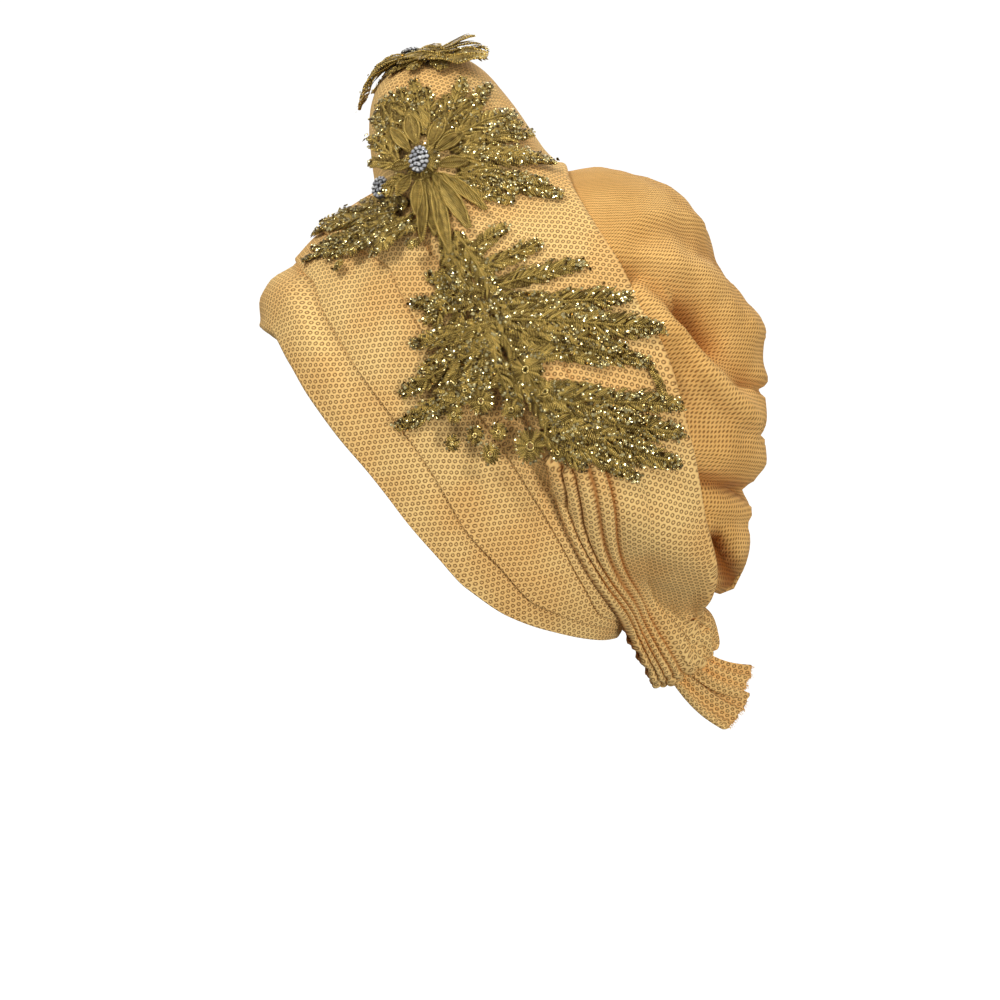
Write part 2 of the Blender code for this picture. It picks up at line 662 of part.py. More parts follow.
def make_lace(name, azimuth, elevation, facing, fall, leaves, cloth):
    """A lace motif draped on the cloth below it."""
    place = Facing(cloth, azimuth, elevation, facing)
    bm = bmesh.new()
    bm.from_mesh(flat_lace(name, leaves))
    bmesh.ops.remove_doubles(bm, verts=bm.verts, dist=0.05 * MM)
    even_triangles(bm)
    for vert in bm.verts:
        right, up, _ = vert.co
        far = math.hypot(right, up) / LACE_SPAN
        vert.co = place.point(right, up, place.resting(cloth, right, up, -fall * LACE_SPAN * far ** 2) + LACE_GAP)
    lift_clear(bm, place, cloth)
    bmesh.ops.recalc_face_normals(bm, faces=bm.faces)
    if sum(face.normal.dot(place.out) for face in bm.faces) < 0:
        bmesh.ops.reverse_faces(bm, faces=bm.faces)
    lace = finish(name, to_mesh(bm, name), LACE_GOLD, 0.4, 0.8)
    wall = lace.modifiers.new("Wall", "SOLIDIFY")
    wall.thickness = LACE_WALL
    wall.offset = 1.0
    return place


def stone_places(half_width, half_length):
    """Where the stones of a brooch sit, in rows set half a pitch apart."""
    rows = int((half_length - STONE_RADIUS) / (STONE_PITCH * 0.87))
    for row in range(-rows, rows + 1):
        y = row * STONE_PITCH * 0.87
        reach = half_width * math.sqrt(1 - (y / half_length) ** 2) - STONE_RADIUS
        offset = STONE_PITCH / 2 if row % 2 else 0.0
        x = offset - STONE_PITCH * round((reach + offset) // STONE_PITCH)
        while x <= reach + 0.1 * MM:
            if x >= -reach - 0.1 * MM:
                yield x, y
            x += STONE_PITCH


def make_brooch(name, half_width, half_length, frame):
    """An oval setting with its cut stones fused to it."""
    bm = bmesh.new()
    bmesh.ops.create_cone(bm, cap_ends=True, segments=16, radius1=half_length, radius2=half_length * 0.94,
                          depth=SETTING_HEIGHT)
    bmesh.ops.scale(bm, vec=(half_width / half_length, 1, 1), verts=bm.verts)
    bmesh.ops.translate(bm, vec=(0, 0, SETTING_HEIGHT / 2), verts=bm.verts)
    piece = finish(name, to_mesh(bm, name), STONE, 0.15, 0.3)
    stones = bmesh.new()
    for x, y in stone_places(half_width, half_length):
        seat = Matrix.Translation((x, y, SETTING_HEIGHT - STONE_SUNK + STONE_HEIGHT / 2))
        bmesh.ops.create_cone(stones, cap_ends=True, segments=8, radius1=STONE_RADIUS,
                              radius2=STONE_RADIUS * 0.55, depth=STONE_HEIGHT, matrix=seat)
    cutter = bpy.data.objects.new(name + "_stones", to_mesh(stones, name + "_stones"))
    cutter.hide_render = True
    cutter.display_type = "WIRE"
    bpy.data.collections["guides"].objects.link(cutter)
    fuse = piece.modifiers.new("Stones", "BOOLEAN")
    fuse.operation = "UNION"
    fuse.solver = "EXACT"
    fuse.object = cutter
    piece.matrix_world = frame
    cutter.matrix_world = frame


def brooch_frame(place, cloth, lace, right, up, half):
    """Where a brooch rests: square to the cloth below it and clear of the lace."""
    normal = Vector()
    for turn in range(8):
        x = right + half * math.cos(turn * math.pi / 4)
        y = up + half * math.sin(turn * math.pi / 4)
        normal += cloth.ray_cast(place.point(x, y, LOOK_FROM), -place.out)[1] or Vector()
    out = normal.normalized()
    centre = cloth.ray_cast(place.point(right, up, LOOK_FROM), -place.out)[0]
    side = Vector((0, 0, 1)).cross(out).normalized()
    top = out.cross(side)
    high = 0.0
    for turn in range(12):
        for share in (0.3, 0.7, 1.05):
            x = half * share * math.cos(turn * math.pi / 6)
            y = half * share * math.sin(turn * math.pi / 6)
            for tree in (cloth, lace):
                found = tree.ray_cast(centre + side * x + top * y + out * LOOK_FROM, -out)[0]
                if found is not None:
                    high = max(high, (found - centre).dot(out))
    spot = centre + out * (high + BROOCH_GAP)
    return Matrix.Translation(spot) @ Matrix((side, top, out)).transposed().to_4x4()


def main():
    for old in list(bpy.data.objects):
        bpy.data.objects.remove(old)
    for group in ("head_tie", "guides"):
        bpy.context.scene.collection.children.link(bpy.data.collections.new(group))
    make_crown_bag()
    make_wraps()
    make_sash()
    middle = make_knot()
    for tail in TAILS:
        make_tail(middle, *tail)
    cloth = tree_of(("crown_bag", "face_band", "wrap_lower", "wrap_upper", "sash"))
    places = {row[0]: make_lace(*row, cloth) for row in LACES}
    lace = tree_of(places)
    for name, motif, right, up, half_width, half_length in BROOCHES:
        frame = brooch_frame(places[motif], cloth, lace, right * LACE_SPAN, up * LACE_SPAN, half_length)
        make_brooch(name, half_width, half_length, frame)


main()
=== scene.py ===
"""Looks of the tied gele head tie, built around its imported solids.

Metres, +Z up. The face looks toward -Y and the wearer's left is +X, as in the part's source. The cloth
pieces follow the same surfaces as the solids, with their folds, pleats, hems and gathers in full.
"""

import math

import bmesh
import bpy
import numpy as np
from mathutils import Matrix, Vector
from mathutils.bvhtree import BVHTree


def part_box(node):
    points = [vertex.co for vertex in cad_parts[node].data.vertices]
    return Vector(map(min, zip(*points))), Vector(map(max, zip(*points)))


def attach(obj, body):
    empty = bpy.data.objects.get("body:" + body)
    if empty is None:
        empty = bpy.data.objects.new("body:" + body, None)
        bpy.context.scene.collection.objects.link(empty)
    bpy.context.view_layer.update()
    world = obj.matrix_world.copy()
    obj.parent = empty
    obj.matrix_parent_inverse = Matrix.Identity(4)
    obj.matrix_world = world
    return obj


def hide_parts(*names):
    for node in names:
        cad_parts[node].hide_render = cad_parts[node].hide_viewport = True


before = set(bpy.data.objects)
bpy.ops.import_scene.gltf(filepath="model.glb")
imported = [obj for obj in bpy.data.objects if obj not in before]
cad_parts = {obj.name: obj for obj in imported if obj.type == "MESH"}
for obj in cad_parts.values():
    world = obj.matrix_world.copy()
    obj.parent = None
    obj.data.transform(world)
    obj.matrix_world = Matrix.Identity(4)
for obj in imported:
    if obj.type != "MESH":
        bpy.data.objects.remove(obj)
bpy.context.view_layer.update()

MM = 0.001

# The head hollow and the layers over it. Lengths are in metres and angles in degrees, as in the part's source
HEAD_HALF_WIDTH = 79 * MM
HEAD_FRONT = 111 * MM
HEAD_BACK = 84 * MM
HEAD_UP = 105 * MM
HEAD_DOWN = 151 * MM
HEAD_SQUARENESS = 2.5
FOREHEAD_ROUNDING = 0.35
HEAD_CENTRE = np.array([0, 0, -HEAD_UP])
BAG_WALL = 2.0 * MM
WRAP_WALL = 1.4 * MM
SASH_WALL = 2.0 * MM
LAYER_GAP = 1.0 * MM
FOLDED_GAP = 1.5 * MM
BAG_PUFF = 59 * MM
BAG_SIDE_POWER = 2.2
FOLD_SPAN = 100 * MM
SLOPE_STEP = 0.03
STEEPEST = 1.8
PEAK_RISE = 57 * MM
SASH_LIFT = 10 * MM
WRAPS_END_AZIMUTH = 152.0
WRAPS_END_SHARE = 0.91
LACE_SPAN = 80 * MM
LOOK_FROM = 0.3

# How far the bag's folds take to fade in behind the sash
FOLD_FADE = 9 * MM
# The sash's swell over the knot: its radius, and its middle and half sizes in degrees
KNOT_REACH = 168 * MM
KNOT_MIDDLE = -51.0
KNOT_UPWARD = 10.5
KNOT_ASIDE = 11.5
# The camera's place and its distance in front of the object, with half the frame's width there
EYE_AWAY = 1.8
EYE_PLACE = (EYE_AWAY, 0.010, -0.1515)
HALF_FRAME = 0.25
PHOTO_MIDDLE = 500

# Share of BAG_PUFF by angle in the side plane: 0 is the back, 90 the crown, 180 the face
PUFF = (
    (-180, 0), (-48, 0), (-43, 0.25), (-39, 0.62), (-35, 0.90), (-29, 0.93), (-20, 0.90),
    (-10, 0.89), (0, 0.93), (7, 0.95), (14, 0.92), (25, 0.84), (35, 0.81), (44, 0.77), (55, 0.59),
    (63, 0.43), (72, 0.26), (90, 0.12), (108, 0.04), (125, 0), (180, 0),
)
# Edge lines by azimuth from the face, elevation in degrees
RIM_LINE = (
    (0, 21.5), (22, 20), (31, 13), (38, 4), (47, -9), (53, -17), (59, -25), (66, -33.5), (74, -41),
    (85, -49), (102, -54.5), (116, -56), (155, -57.5), (180, -58),
)
BAND_LINE = (
    (0, 39), (30, 33), (39, 25), (46, 18), (53, 9), (60, 0), (66, -8), (75, -21), (86, -37), (96, -44),
    (111, -51.5), (140, -54.5), (180, -56),
)
WRAP_LINE = (
    (0, 48), (40, 44), (58, 39), (64, 32), (71, 23), (78, 14.5), (87, 1), (99, -16), (108, -28),
    (116, -37), (125, -45), (137, -51.5), (180, -54),
)
# Sash stations from the crown to the nape: front and rear edge as azimuth and elevation, the lift of each
# edge and of the middle as shares of SASH_LIFT, the middle's share of PEAK_RISE, and the pleats' share
SASH_COLUMNS = (
    "share", "front_az", "front_el", "rear_az", "rear_el", "front_lift", "rear_lift", "hump", "peak", "pleat",
)
SASH = (
    (0.00, 0.0, 65.0, 180.0, 72.0, 0.0, 0.0, 0.0, 1.00, 0.0),
    (0.04, 17.0, 64.0, 166.0, 71.0, 0.0, 0.0, 0.0, 0.90, 0.0),
    (0.08, 34.0, 61.5, 150.0, 68.0, 0.0, 0.0, 0.1, 0.64, 0.0),
    (0.13, 50.0, 57.5, 136.0, 63.0, 0.0, 0.0, 0.3, 0.34, 0.0),
    (0.19, 62.0, 52.0, 128.0, 56.0, 0.0, 0.0, 0.6, 0.11, 0.0),
    (0.27, 75.0, 42.0, 125.0, 45.0, 0.0, 0.0, 0.7, 0.00, 0.0),
    (0.35, 87.0, 26.0, 127.5, 31.0, 0.0, 0.0, 0.4, 0.00, 0.2),
    (0.43, 97.0, 8.0, 132.0, 17.0, 0.0, 0.0, 0.25, 0.00, 0.5),
    (0.51, 104.5, -7.0, 136.0, 1.5, 0.0, 0.0, 0.2, 0.00, 0.8),
    (0.60, 111.0, -22.0, 140.0, -12.5, 0.0, 0.0, 0.2, 0.00, 1.0),
    (0.69, 118.0, -34.5, 144.5, -24.5, 0.0, 0.1, 0.2, 0.00, 1.0),
    (0.78, 128.5, -44.0, 151.0, -32.5, 0.0, 0.2, 0.2, 0.00, 1.0),
    (0.86, 144.0, -51.0, 158.0, -38.0, 0.1, 0.5, 0.1, 0.00, 1.0),
    (0.93, 162.0, -56.0, 167.0, -42.5, 0.1, 0.5, 0.1, 0.00, 0.9),
    (1.00, 180.0, -57.5, 180.0, -46.0, 0.1, 0.2, 0.0, 0.00, 0.7),
)
SASH_LIFTS = ("front_lift", "rear_lift", "hump", "peak", "pleat")
PEAK_ACROSS = (
    (0, 0), (0.04, 0.20), (0.09, 0.50), (0.14, 0.71), (0.20, 0.86), (0.28, 0.95), (0.38, 0.99), (0.50, 0.98),
    (0.58, 0.89), (0.67, 0.69), (0.80, 0.36), (0.90, 0.13), (1, 0),
)

# Bag folds in the side plane about the head's centre, y and z as shares of FOLD_SPAN: the height, the width
# above and below the line and the lean toward the side below, in mm, and the share on the wearer's right
FOLDS = (
    (4.6, 13, 9, 1.5, 0.9, (0.56, 0.69), (0.92, 0.69), (1.33, 0.37)),
    (-3.2, 15, 10, 0, 0.6, (0.82, 0.78), (1.04, 0.80), (1.32, 0.55)),
    (-5.2, 8, 11, 0, 1.0, (0.64, 0.61), (0.86, 0.49), (1.06, 0.28)),
    (7.0, 9, 14, -2.0, 1.0, (0.74, 0.50), (1.02, 0.22), (1.27, -0.06)),
    (-5.4, 12, 6, 0, 0.8, (0.98, 0.42), (1.14, 0.17), (1.24, 0.08)),
    (-3.0, 11, 10, 0, 0.9, (0.86, 0.16), (1.00, -0.05), (1.25, -0.14)),
    (3.4, 12, 9, 3.0, 1.0, (0.94, -0.16), (1.16, -0.21), (1.42, -0.26)),
    (-6.4, 4, 7, 0, 0.3, (1.00, -0.33), (1.18, -0.37), (1.33, -0.41)),
    (2.4, 9, 13, 2.0, 1.0, (1.08, -0.42), (1.27, -0.58), (1.26, -0.86)),
    (2.0, 4, 4, 1.0, 1.0, (1.36, 0.16), (1.42, 0.12), (1.48, 0.08)),
    (-1.4, 3, 4, 0, 1.0, (1.30, 0.09), (1.38, 0.10), (1.46, 0.06)),
    (-1.4, 3, 4, 0, 0.5, (1.34, -0.12), (1.40, -0.17), (1.46, -0.20)),
    (1.4, 4, 4, 0, 0.7, (0.95, 0.32), (1.12, 0.06), (1.30, -0.10)),
    (-1.4, 4, 4, 0, 0.7, (0.92, 0.26), (1.08, 0.02), (1.26, -0.13)),
    (1.3, 5, 5, 0, 0.6, (0.70, 0.84), (0.98, 0.92), (1.20, 0.82)),
    (-1.5, 5, 5, 0, 0.4, (0.75, 0.76), (0.90, 0.76), (1.08, 0.72)),
    (1.2, 3, 4, 0, 0.8, (1.02, -0.46), (1.22, -0.50), (1.36, -0.50)),
    (-1.2, 3, 4, 0, 0.8, (1.06, -0.52), (1.22, -0.56), (1.36, -0.58)),
)
# Folds: the share of their width and height that the cloth takes, and how far they rise sideways
FOLD_WIDTH = 0.88
ROLL_GAIN = 1.45
HOLLOW_GAIN = 2.2
FOLD_SIDEWAYS = 0.9
# The deep pocket in the bag's lowest lobe: its line, its half width and depth, and the lip round it, in mm
POCKET = ((1.12, -0.66), (1.185, -0.77), (1.22, -0.83))
POCKET_HALF = 5.2
POCKET_DEPTH = 24
LIP_AWAY = 10
LIP_HALF = 4.0
LIP_HEIGHT = 2.5


def smooth(points, x):
    """Values at x of a smooth curve without overshoot through (place, value) points."""
    places, values = np.array(points, float).T
    step = np.diff(places)
    rise = np.diff(values) / step
    both = rise[1:] * rise[:-1]
    total = np.where(both > 0, rise[1:] + rise[:-1], 1.0)
    slope = np.zeros(len(places))
    slope[1:-1] = np.where(both > 0, 2 * both / total, 0.0)
    x = np.clip(x, places[0], places[-1])
    i = np.clip(np.searchsorted(places, x) - 1, 0, len(places) - 2)
    t = (x - places[i]) / step[i]
    keep = (1 + 2 * t) * (1 - t) ** 2
    turn = t * (1 - t) * step[i]
    return (values[i] * keep + values[i + 1] * (1 - keep)
            + turn * ((1 - t) * slope[i] - t * slope[i + 1]))


def ramp(x, low, high):
    """0 below low, 1 above high, and smooth between."""
    t = np.clip((x - low) / (high - low), 0, 1)
    return t * t * (3 - 2 * t)


def directions(azimuth, elevation):
    """Unit ways by azimuth from the face and elevation, in degrees."""
    azimuth, elevation = np.radians(azimuth), np.radians(elevation)
    flat = np.cos(elevation)
    upward = np.sin(elevation) + 0 * azimuth
    return np.stack([flat * np.sin(azimuth), -flat * np.cos(azimuth), upward], axis=-1)


def unit(vectors):
    return vectors / np.maximum(np.linalg.norm(vectors, axis=-1, keepdims=True), 1e-12)


def head_radius(d):
    """The head hollow's radius about its centre."""
    deep = np.where(d[..., 1] < 0, HEAD_FRONT, HEAD_BACK)
    high = np.where(d[..., 2] > 0, HEAD_UP, HEAD_DOWN)
    n = HEAD_SQUARENESS - FOREHEAD_ROUNDING * smooth(((0, 0), (0.6, 1)), -d[..., 1])
    wide = (np.abs(d[..., 0]) / HEAD_HALF_WIDTH) ** n
    return (wide + (np.abs(d[..., 1]) / deep) ** n + (np.abs(d[..., 2]) / high) ** n) ** (-1 / n)


def bag_puff(d):
    """How far the smooth bag stands off the head."""
    side_angle = np.degrees(np.arctan2(d[..., 2], d[..., 1]))
    narrowing = (1 - np.abs(d[..., 0]) ** BAG_SIDE_POWER) ** 0.95
    return BAG_PUFF * smooth(PUFF, side_angle) * narrowing


SASH_TABLE = {name: np.array([row[i] for row in SASH], float) for i, name in enumerate(SASH_COLUMNS)}


def sash_edge(share, side):
    """Ways to the sash's front or rear edge by the share of its run from the crown to the nape."""
    edge = directions(SASH_TABLE[side + "_az"], SASH_TABLE[side + "_el"])
    axes = [smooth(list(zip(SASH_TABLE["share"], edge[:, k])), share) for k in range(3)]
    return unit(np.stack(axes, axis=-1))


def rear_edge_line():
    """The sash's rear edge in the side plane as (height, depth) points, lowest first."""
    edge = sash_edge(np.linspace(0, 0.9, 19), "rear")
    place = edge * (head_radius(edge) + bag_puff(edge))[:, None]
    return sorted(zip(place[:, 2], place[:, 1]))


REAR_EDGE = rear_edge_line()


def cover_radius(d, rise):
    """Radius that stands off the smooth bag and head by a rise measured square to the surface."""
    base = head_radius(d) + bag_puff(d)
    level = unit(np.stack([-d[..., 1], d[..., 0] + 1e-9, np.zeros(d.shape[:-1])], axis=-1))
    slant = 1.0
    for tangent in (level, np.cross(d, level)):
        near = unit(d + SLOPE_STEP * tangent)
        slant = slant + ((head_radius(near) + bag_puff(near) - base) / (SLOPE_STEP * base)) ** 2
    return base + rise * np.minimum(np.sqrt(slant), STEEPEST)


LAYER = WRAP_WALL + LAYER_GAP
BAND_RISE = BAG_WALL + LAYER_GAP
WRAP_LOWER_RISE = BAND_RISE + LAYER
WRAP_UPPER_RISE = WRAP_LOWER_RISE + LAYER
SASH_FRONT_RISE = WRAP_UPPER_RISE + LAYER
SASH_REAR_RISE = BAG_WALL + FOLDED_GAP
NAPE_RISE = BAND_RISE + LAYER


def on_head(d, radius):
    return d * radius[..., None] + HEAD_CENTRE


def ripple(points, wavelength, seed):
    """Gentle waves without a grain, about -1 to 1."""
    turn = np.random.default_rng(seed)
    total = np.zeros(points.shape[:-1])
    for _ in range(7):
        way = unit(turn.normal(size=3)) * 2 * np.pi / wavelength * turn.uniform(0.7, 1.5)
        total += np.sin(points @ way + turn.uniform(0, 2 * np.pi))
    return total / 3.2


def grid_normals(grid, closed):
    """Unit normals of a grid of points, turned away from the head's centre."""
    if closed:
        along = np.roll(grid, -1, axis=0) - np.roll(grid, 1, axis=0)
    else:
        along = np.gradient(grid, axis=0)
    normals = unit(np.cross(along, np.gradient(grid, axis=1)))
    if np.sum(normals * (grid - HEAD_CENTRE)) < 0:
        normals = -normals
    return normals


def arc_lengths(grid, axis, start):
    """Signed length along an axis of the grid from its column or row number start."""
    steps = np.linalg.norm(np.diff(grid, axis=axis), axis=-1)
    total = np.cumsum(steps, axis=axis)
    pad = [(0, 0), (0, 0)]
    pad[axis] = (1, 0)
    total = np.pad(total, pad)
    return total - np.take(total, [start], axis=axis)


def add_mesh(name, points, faces, material, uv=None, smooth_shaded=True):
    """A mesh object of points and faces, with metric UVs one per point where they are given."""
    mesh = bpy.data.meshes.new(name)
    mesh.from_pydata(np.asarray(points).reshape(-1, 3).tolist(), [], faces)
    if uv is not None:
        layer = mesh.uv_layers.new(name="UVMap")
        loops = np.empty(len(mesh.loops), int)
        mesh.loops.foreach_get("vertex_index", loops)
        layer.data.foreach_set("uv", np.asarray(uv).reshape(-1, 2)[loops].astype(np.float32).ravel())
    if smooth_shaded:
        mesh.shade_smooth()
    mesh.materials.append(material)
    mesh.validate()
    piece = bpy.data.objects.new(name, mesh)
    bpy.context.scene.collection.objects.link(piece)
    return piece


def quads(rows, columns, closed_rows=False, closed_columns=False):
    """Faces of a grid of rows by columns points, which may close on itself."""
    i, j = np.meshgrid(np.arange(rows if closed_rows else rows - 1),
                       np.arange(columns if closed_columns else columns - 1), indexing="ij")
    a = i * columns + j
    b = (i + 1) % rows * columns + j
    c = (i + 1) % rows * columns + (j + 1) % columns
    d = i * columns + (j + 1) % columns
    return np.stack([a, b, c, d], axis=-1).reshape(-1, 4).tolist()


def band_uv(flat, start):
    """UVs along and square to a band's middle line, so that its weave isn't sheared."""
    middle = flat.shape[1] // 2
    line = flat[:, middle]
    way = np.gradient(line, axis=0)
    way = unit(sum(np.roll(way, k, axis=0) for k in range(-6, 7)))
    steps = np.diff(flat, axis=1)
    along = (steps * way[:, None]).sum(-1)
    square = np.sqrt(np.maximum((steps ** 2).sum(-1) - along ** 2, 0))
    along, square = (np.pad(np.cumsum(part, axis=1), ((0, 0), (1, 0))) for part in (along, square))
    along, square = (part - part[:, [middle]] for part in (along, square))
    return arc_lengths(line[:, None], 0, start) + along, square


def shell(name, grid, outer, material, flat, closed=False, start=(0, 0), hem=3, pole=False, banded=False,
          hollow=None):
    """A cloth sheet between its two faces, with rounded edges and metric UVs from its flat form."""
    if banded:
        u, v = band_uv(flat, start[0])
    else:
        u, v = arc_lengths(flat, 0, start[0]), arc_lengths(flat, 1, start[1])
    half = (outer - grid) / 2
    middle = grid + half
    # hollow: the share of painted shade at each point, kept in the hollow attribute that darkens the cloth's
    # colour
    hollow = np.zeros(grid.shape[:2]) if hollow is None else hollow
    turns = np.linspace(0, np.pi, 2 * hem + 1)[1:-1]

    def hem_arc(edge, inside, sign):
        out = unit(grid[:, edge] - grid[:, inside])[:, None]
        thick = np.linalg.norm(half[:, edge], axis=-1)[:, None, None]
        arcs = out * thick * np.sin(turns)[:, None] + sign * half[:, edge][:, None] * np.cos(turns)[:, None]
        same = 0 * turns
        return (middle[:, edge][:, None] + arcs, u[:, [edge]] + same,
                v[:, [edge]] + sign * np.sin(turns) * thick[..., 0], hollow[:, [edge]] + same)

    profile = [(outer, u, v, hollow)]
    if not pole:
        profile.append(hem_arc(-1, -2, 1))
    profile.append((grid[:, ::-1], u[:, ::-1], v[:, ::-1], hollow[:, ::-1]))
    profile.append(hem_arc(0, 1, -1))
    points, u, v, hollow = (np.concatenate([part[k] for part in profile], axis=1) for k in range(4))
    uv = np.stack([u, v], axis=-1)
    rows, columns = points.shape[:2]
    faces = quads(rows, columns, closed, True)
    if not closed:
        count = grid.shape[1]
        for row in (0, rows - 1):
            first = row * columns
            for j in range(count - 1):
                other = first + (2 * count - 1 + (0 if pole else len(turns)) - j)
                faces.append([first + j, first + j + 1, other - 1, other])
            right = [first + count - 1 + k for k in range(len(turns) + 2)]
            left = [first + columns - 1 - k for k in range(len(turns))][::-1]
            faces.append(right)
            faces.append([first + columns - len(turns) - 1] + left + [first])
    piece = add_mesh(name, points, faces, material, uv)
    piece.data.attributes.new("hollow", "FLOAT", "POINT").data.foreach_set("value", hollow.ravel())
    face_outward(piece)
    return piece


def face_outward(piece):
    """Makes the faces of a closed piece look outward."""
    bm = bmesh.new()
    bm.from_mesh(piece.data)
    bmesh.ops.remove_doubles(bm, verts=bm.verts, dist=0.00001)
    bmesh.ops.recalc_face_normals(bm, faces=bm.faces)
    bm.to_mesh(piece.data)
    bm.free()


# Materials


def node(tree, kind, *sources, out=0, **settings):
    """A shader node with its settings and sources, as one of its outputs."""
    made = tree.nodes.new("ShaderNode" + kind)
    for key, value in settings.items():
        setattr(made, key, value)
    for i, source in enumerate(sources):
        if isinstance(source, bpy.types.NodeSocket):
            tree.links.new(source, made.inputs[i])
        elif source is not None:
            made.inputs[i].default_value = source
    return made.outputs[out]


def new_material(name, roughness, metallic=0.0, sheen=0.0):
    made = bpy.data.materials.new(name)
    made.use_nodes = True
    shader = made.node_tree.nodes["Principled BSDF"]
    shader.inputs["Roughness"].default_value = roughness
    shader.inputs["Metallic"].default_value = metallic
    shader.inputs["Sheen Weight"].default_value = sheen
    shader.inputs["Sheen Roughness"].default_value = 0.45
    return made, made.node_tree, shader


def parts_of(tree, vector):
    """The three parts of a vector, as outputs."""
    made = tree.nodes.new("ShaderNodeSeparateXYZ")
    tree.links.new(vector, made.inputs[0])
    return made.outputs


def add_bump(tree, shader, height, strength, distance):
    bump = tree.nodes.new("ShaderNodeBump")
    bump.inputs["Strength"].default_value = strength
    bump.inputs["Distance"].default_value = distance
    tree.links.new(height, bump.inputs["Height"])
    tree.links.new(bump.outputs[0], shader.inputs["Normal"])


def scaled(colour, *shares):
    """A colour with each part at its share, or all three at the one share, and none over 1."""
    shares = shares * 3 if len(shares) == 1 else shares
    return tuple(min(1.0, part * share) for part, share in zip(colour, shares))


def mixed(tree, share, low, high):
    """Two colours mixed by a share."""
    made = tree.nodes.new("ShaderNodeMix")
    made.data_type = "RGBA"
    for i, source in ((0, share), (6, low), (7, high)):
        if isinstance(source, bpy.types.NodeSocket):
            tree.links.new(source, made.inputs[i])
        elif isinstance(source, tuple):
            made.inputs[i].default_value = (*source, 1)
        else:
            made.inputs[i].default_value = source
    return made.outputs[2]


def stepped(tree, value, low, high, first=0.0, last=1.0):
    """From first to last, smoothly, as the value goes from low to high."""
    return node(tree, "MapRange", value, low, high, first, last, interpolation_type="SMOOTHSTEP")


# The small rust mark on the sash beside the lace
STAIN = (0.096, 0.070, -0.1025)
STAIN_RADIUS = 4.5 * MM


def cloth_material(name, light, dark, pitch, row_pitch, ring, thread):
    """Woven honeycomb cloth: staggered rings of the darker thread, small bumps, uneven colour, a stain and
    painted shade in hollows and creases.

    The pitch along a row, that of the rows, the rings' radius and the thread's half width are in metres.
    """
    material, tree, shader = new_material(name, 0.8, sheen=0.05)
    shader.inputs["Specular IOR Level"].default_value = 0.15
    shader.inputs["Sheen Tint"].default_value = (1.0, 0.86, 0.62, 1)

    def math_node(operation, *sources):
        return node(tree, "Math", *sources, operation=operation)

    def vector_node(operation, *sources, out=0):
        return node(tree, "VectorMath", *sources, operation=operation, out=out)

    uv = node(tree, "UVMap")
    place = node(tree, "TexCoord", out=3)
    wander = node(tree, "TexNoise", uv, None, 90.0, 2.0, out=1)
    wander = vector_node("SUBTRACT", wander, (0.5, 0.5, 0.5))
    wander = vector_node("MULTIPLY", wander, (0.0011, 0.0011, 0))
    uv = vector_node("ADD", uv, wander)
    along, row, _ = parts_of(tree, vector_node("MULTIPLY", uv, (1 / pitch, 1 / row_pitch, 0)))
    odd = math_node("FLOORED_MODULO", math_node("FLOOR", row), 2.0)
    column = math_node("MULTIPLY_ADD", odd, 0.5, along)
    x, y = (math_node("MULTIPLY", math_node("SUBTRACT", math_node("FRACT", cell), 0.5), step)
            for cell, step in ((column, pitch), (row, row_pitch)))
    away = vector_node("LENGTH", node(tree, "CombineXYZ", x, y), out=1)
    ringed = stepped(tree, math_node("ABSOLUTE", math_node("SUBTRACT", away, ring)), 0.0, thread, 1.0, 0.0)
    patch = node(tree, "TexNoise", place, None, 26.0, 3.0)
    fleck = node(tree, "TexNoise", uv, None, 1500.0, 2.0)
    base = mixed(tree, stepped(tree, patch, 0.35, 0.65), scaled(light, 0.90, 0.83, 0.72), scaled(light, 1.07))
    base = mixed(tree, stepped(tree, fleck, 0.30, 0.75, 0.0, 0.45), base, scaled(light, 1.25))
    depth = math_node("MULTIPLY", ringed, stepped(tree, fleck, 0.2, 0.8, 0.95, 0.60))
    # Painted shade: the hollow attribute darkens and warms the colour in the bag's fold hollows and pocket
    # and in the sash's pleat creases
    hollow = node(tree, "Attribute", attribute_name="hollow", out=2)
    base = mixed(tree, hollow, base, scaled(light, 0.45, 0.25, 0.12))
    off_stain = vector_node("DISTANCE", place, STAIN, out=1)
    base = mixed(tree, stepped(tree, off_stain, 0.0, STAIN_RADIUS, 0.6, 0.0), base, (0.26, 0.062, 0.016))
    tree.links.new(mixed(tree, depth, base, dark), shader.inputs["Base Color"])
    height = math_node("MULTIPLY_ADD", ringed, -1.0, math_node("MULTIPLY", fleck, 0.6))
    add_bump(tree, shader, height, 0.6, 0.0005)
    return material


CLOTH = cloth_material("honeycomb_cloth", (1.0, 0.61, 0.235), (0.16, 0.047, 0.004),
                       0.0031, 0.0023, 0.00070, 0.00052)
# The bag's cloth: its own dotted weave, with a light colour set darker than the sash cloth's as painted shade
BAG_CLOTH = cloth_material("bag_cloth", (0.88, 0.51, 0.165), (0.17, 0.052, 0.005),
                           0.0024, 0.0020, 0.00025, 0.00078)


# Cloth pieces


def full_azimuth(azimuth):
    """Azimuth from the face, 0 to 180, on either side."""
    return np.abs((azimuth + 180) % 360 - 180)


def off_line(side, start, middle, end):
    """Way of a curve in the side plane where it passes nearest each place, and the gap from there and its
    length."""
    along = np.linspace(0, 1, 29)
    a, b, c = (np.array(point) * FOLD_SPAN for point in (start, middle, end))
    bend = 2 * b - (a + c) / 2
    line = np.outer((1 - along) ** 2, a) + np.outer(2 * along * (1 - along), bend) + np.outer(along ** 2, c)
    ways = unit(np.gradient(line, axis=0))
    gap = side[..., None, :] - line
    far = np.linalg.norm(gap, axis=-1)
    nearest = far.argmin(axis=-1)
    reach = np.take_along_axis(gap, nearest[..., None, None], axis=-2)[..., 0, :]
    return ways[nearest], reach, far.min(axis=-1)


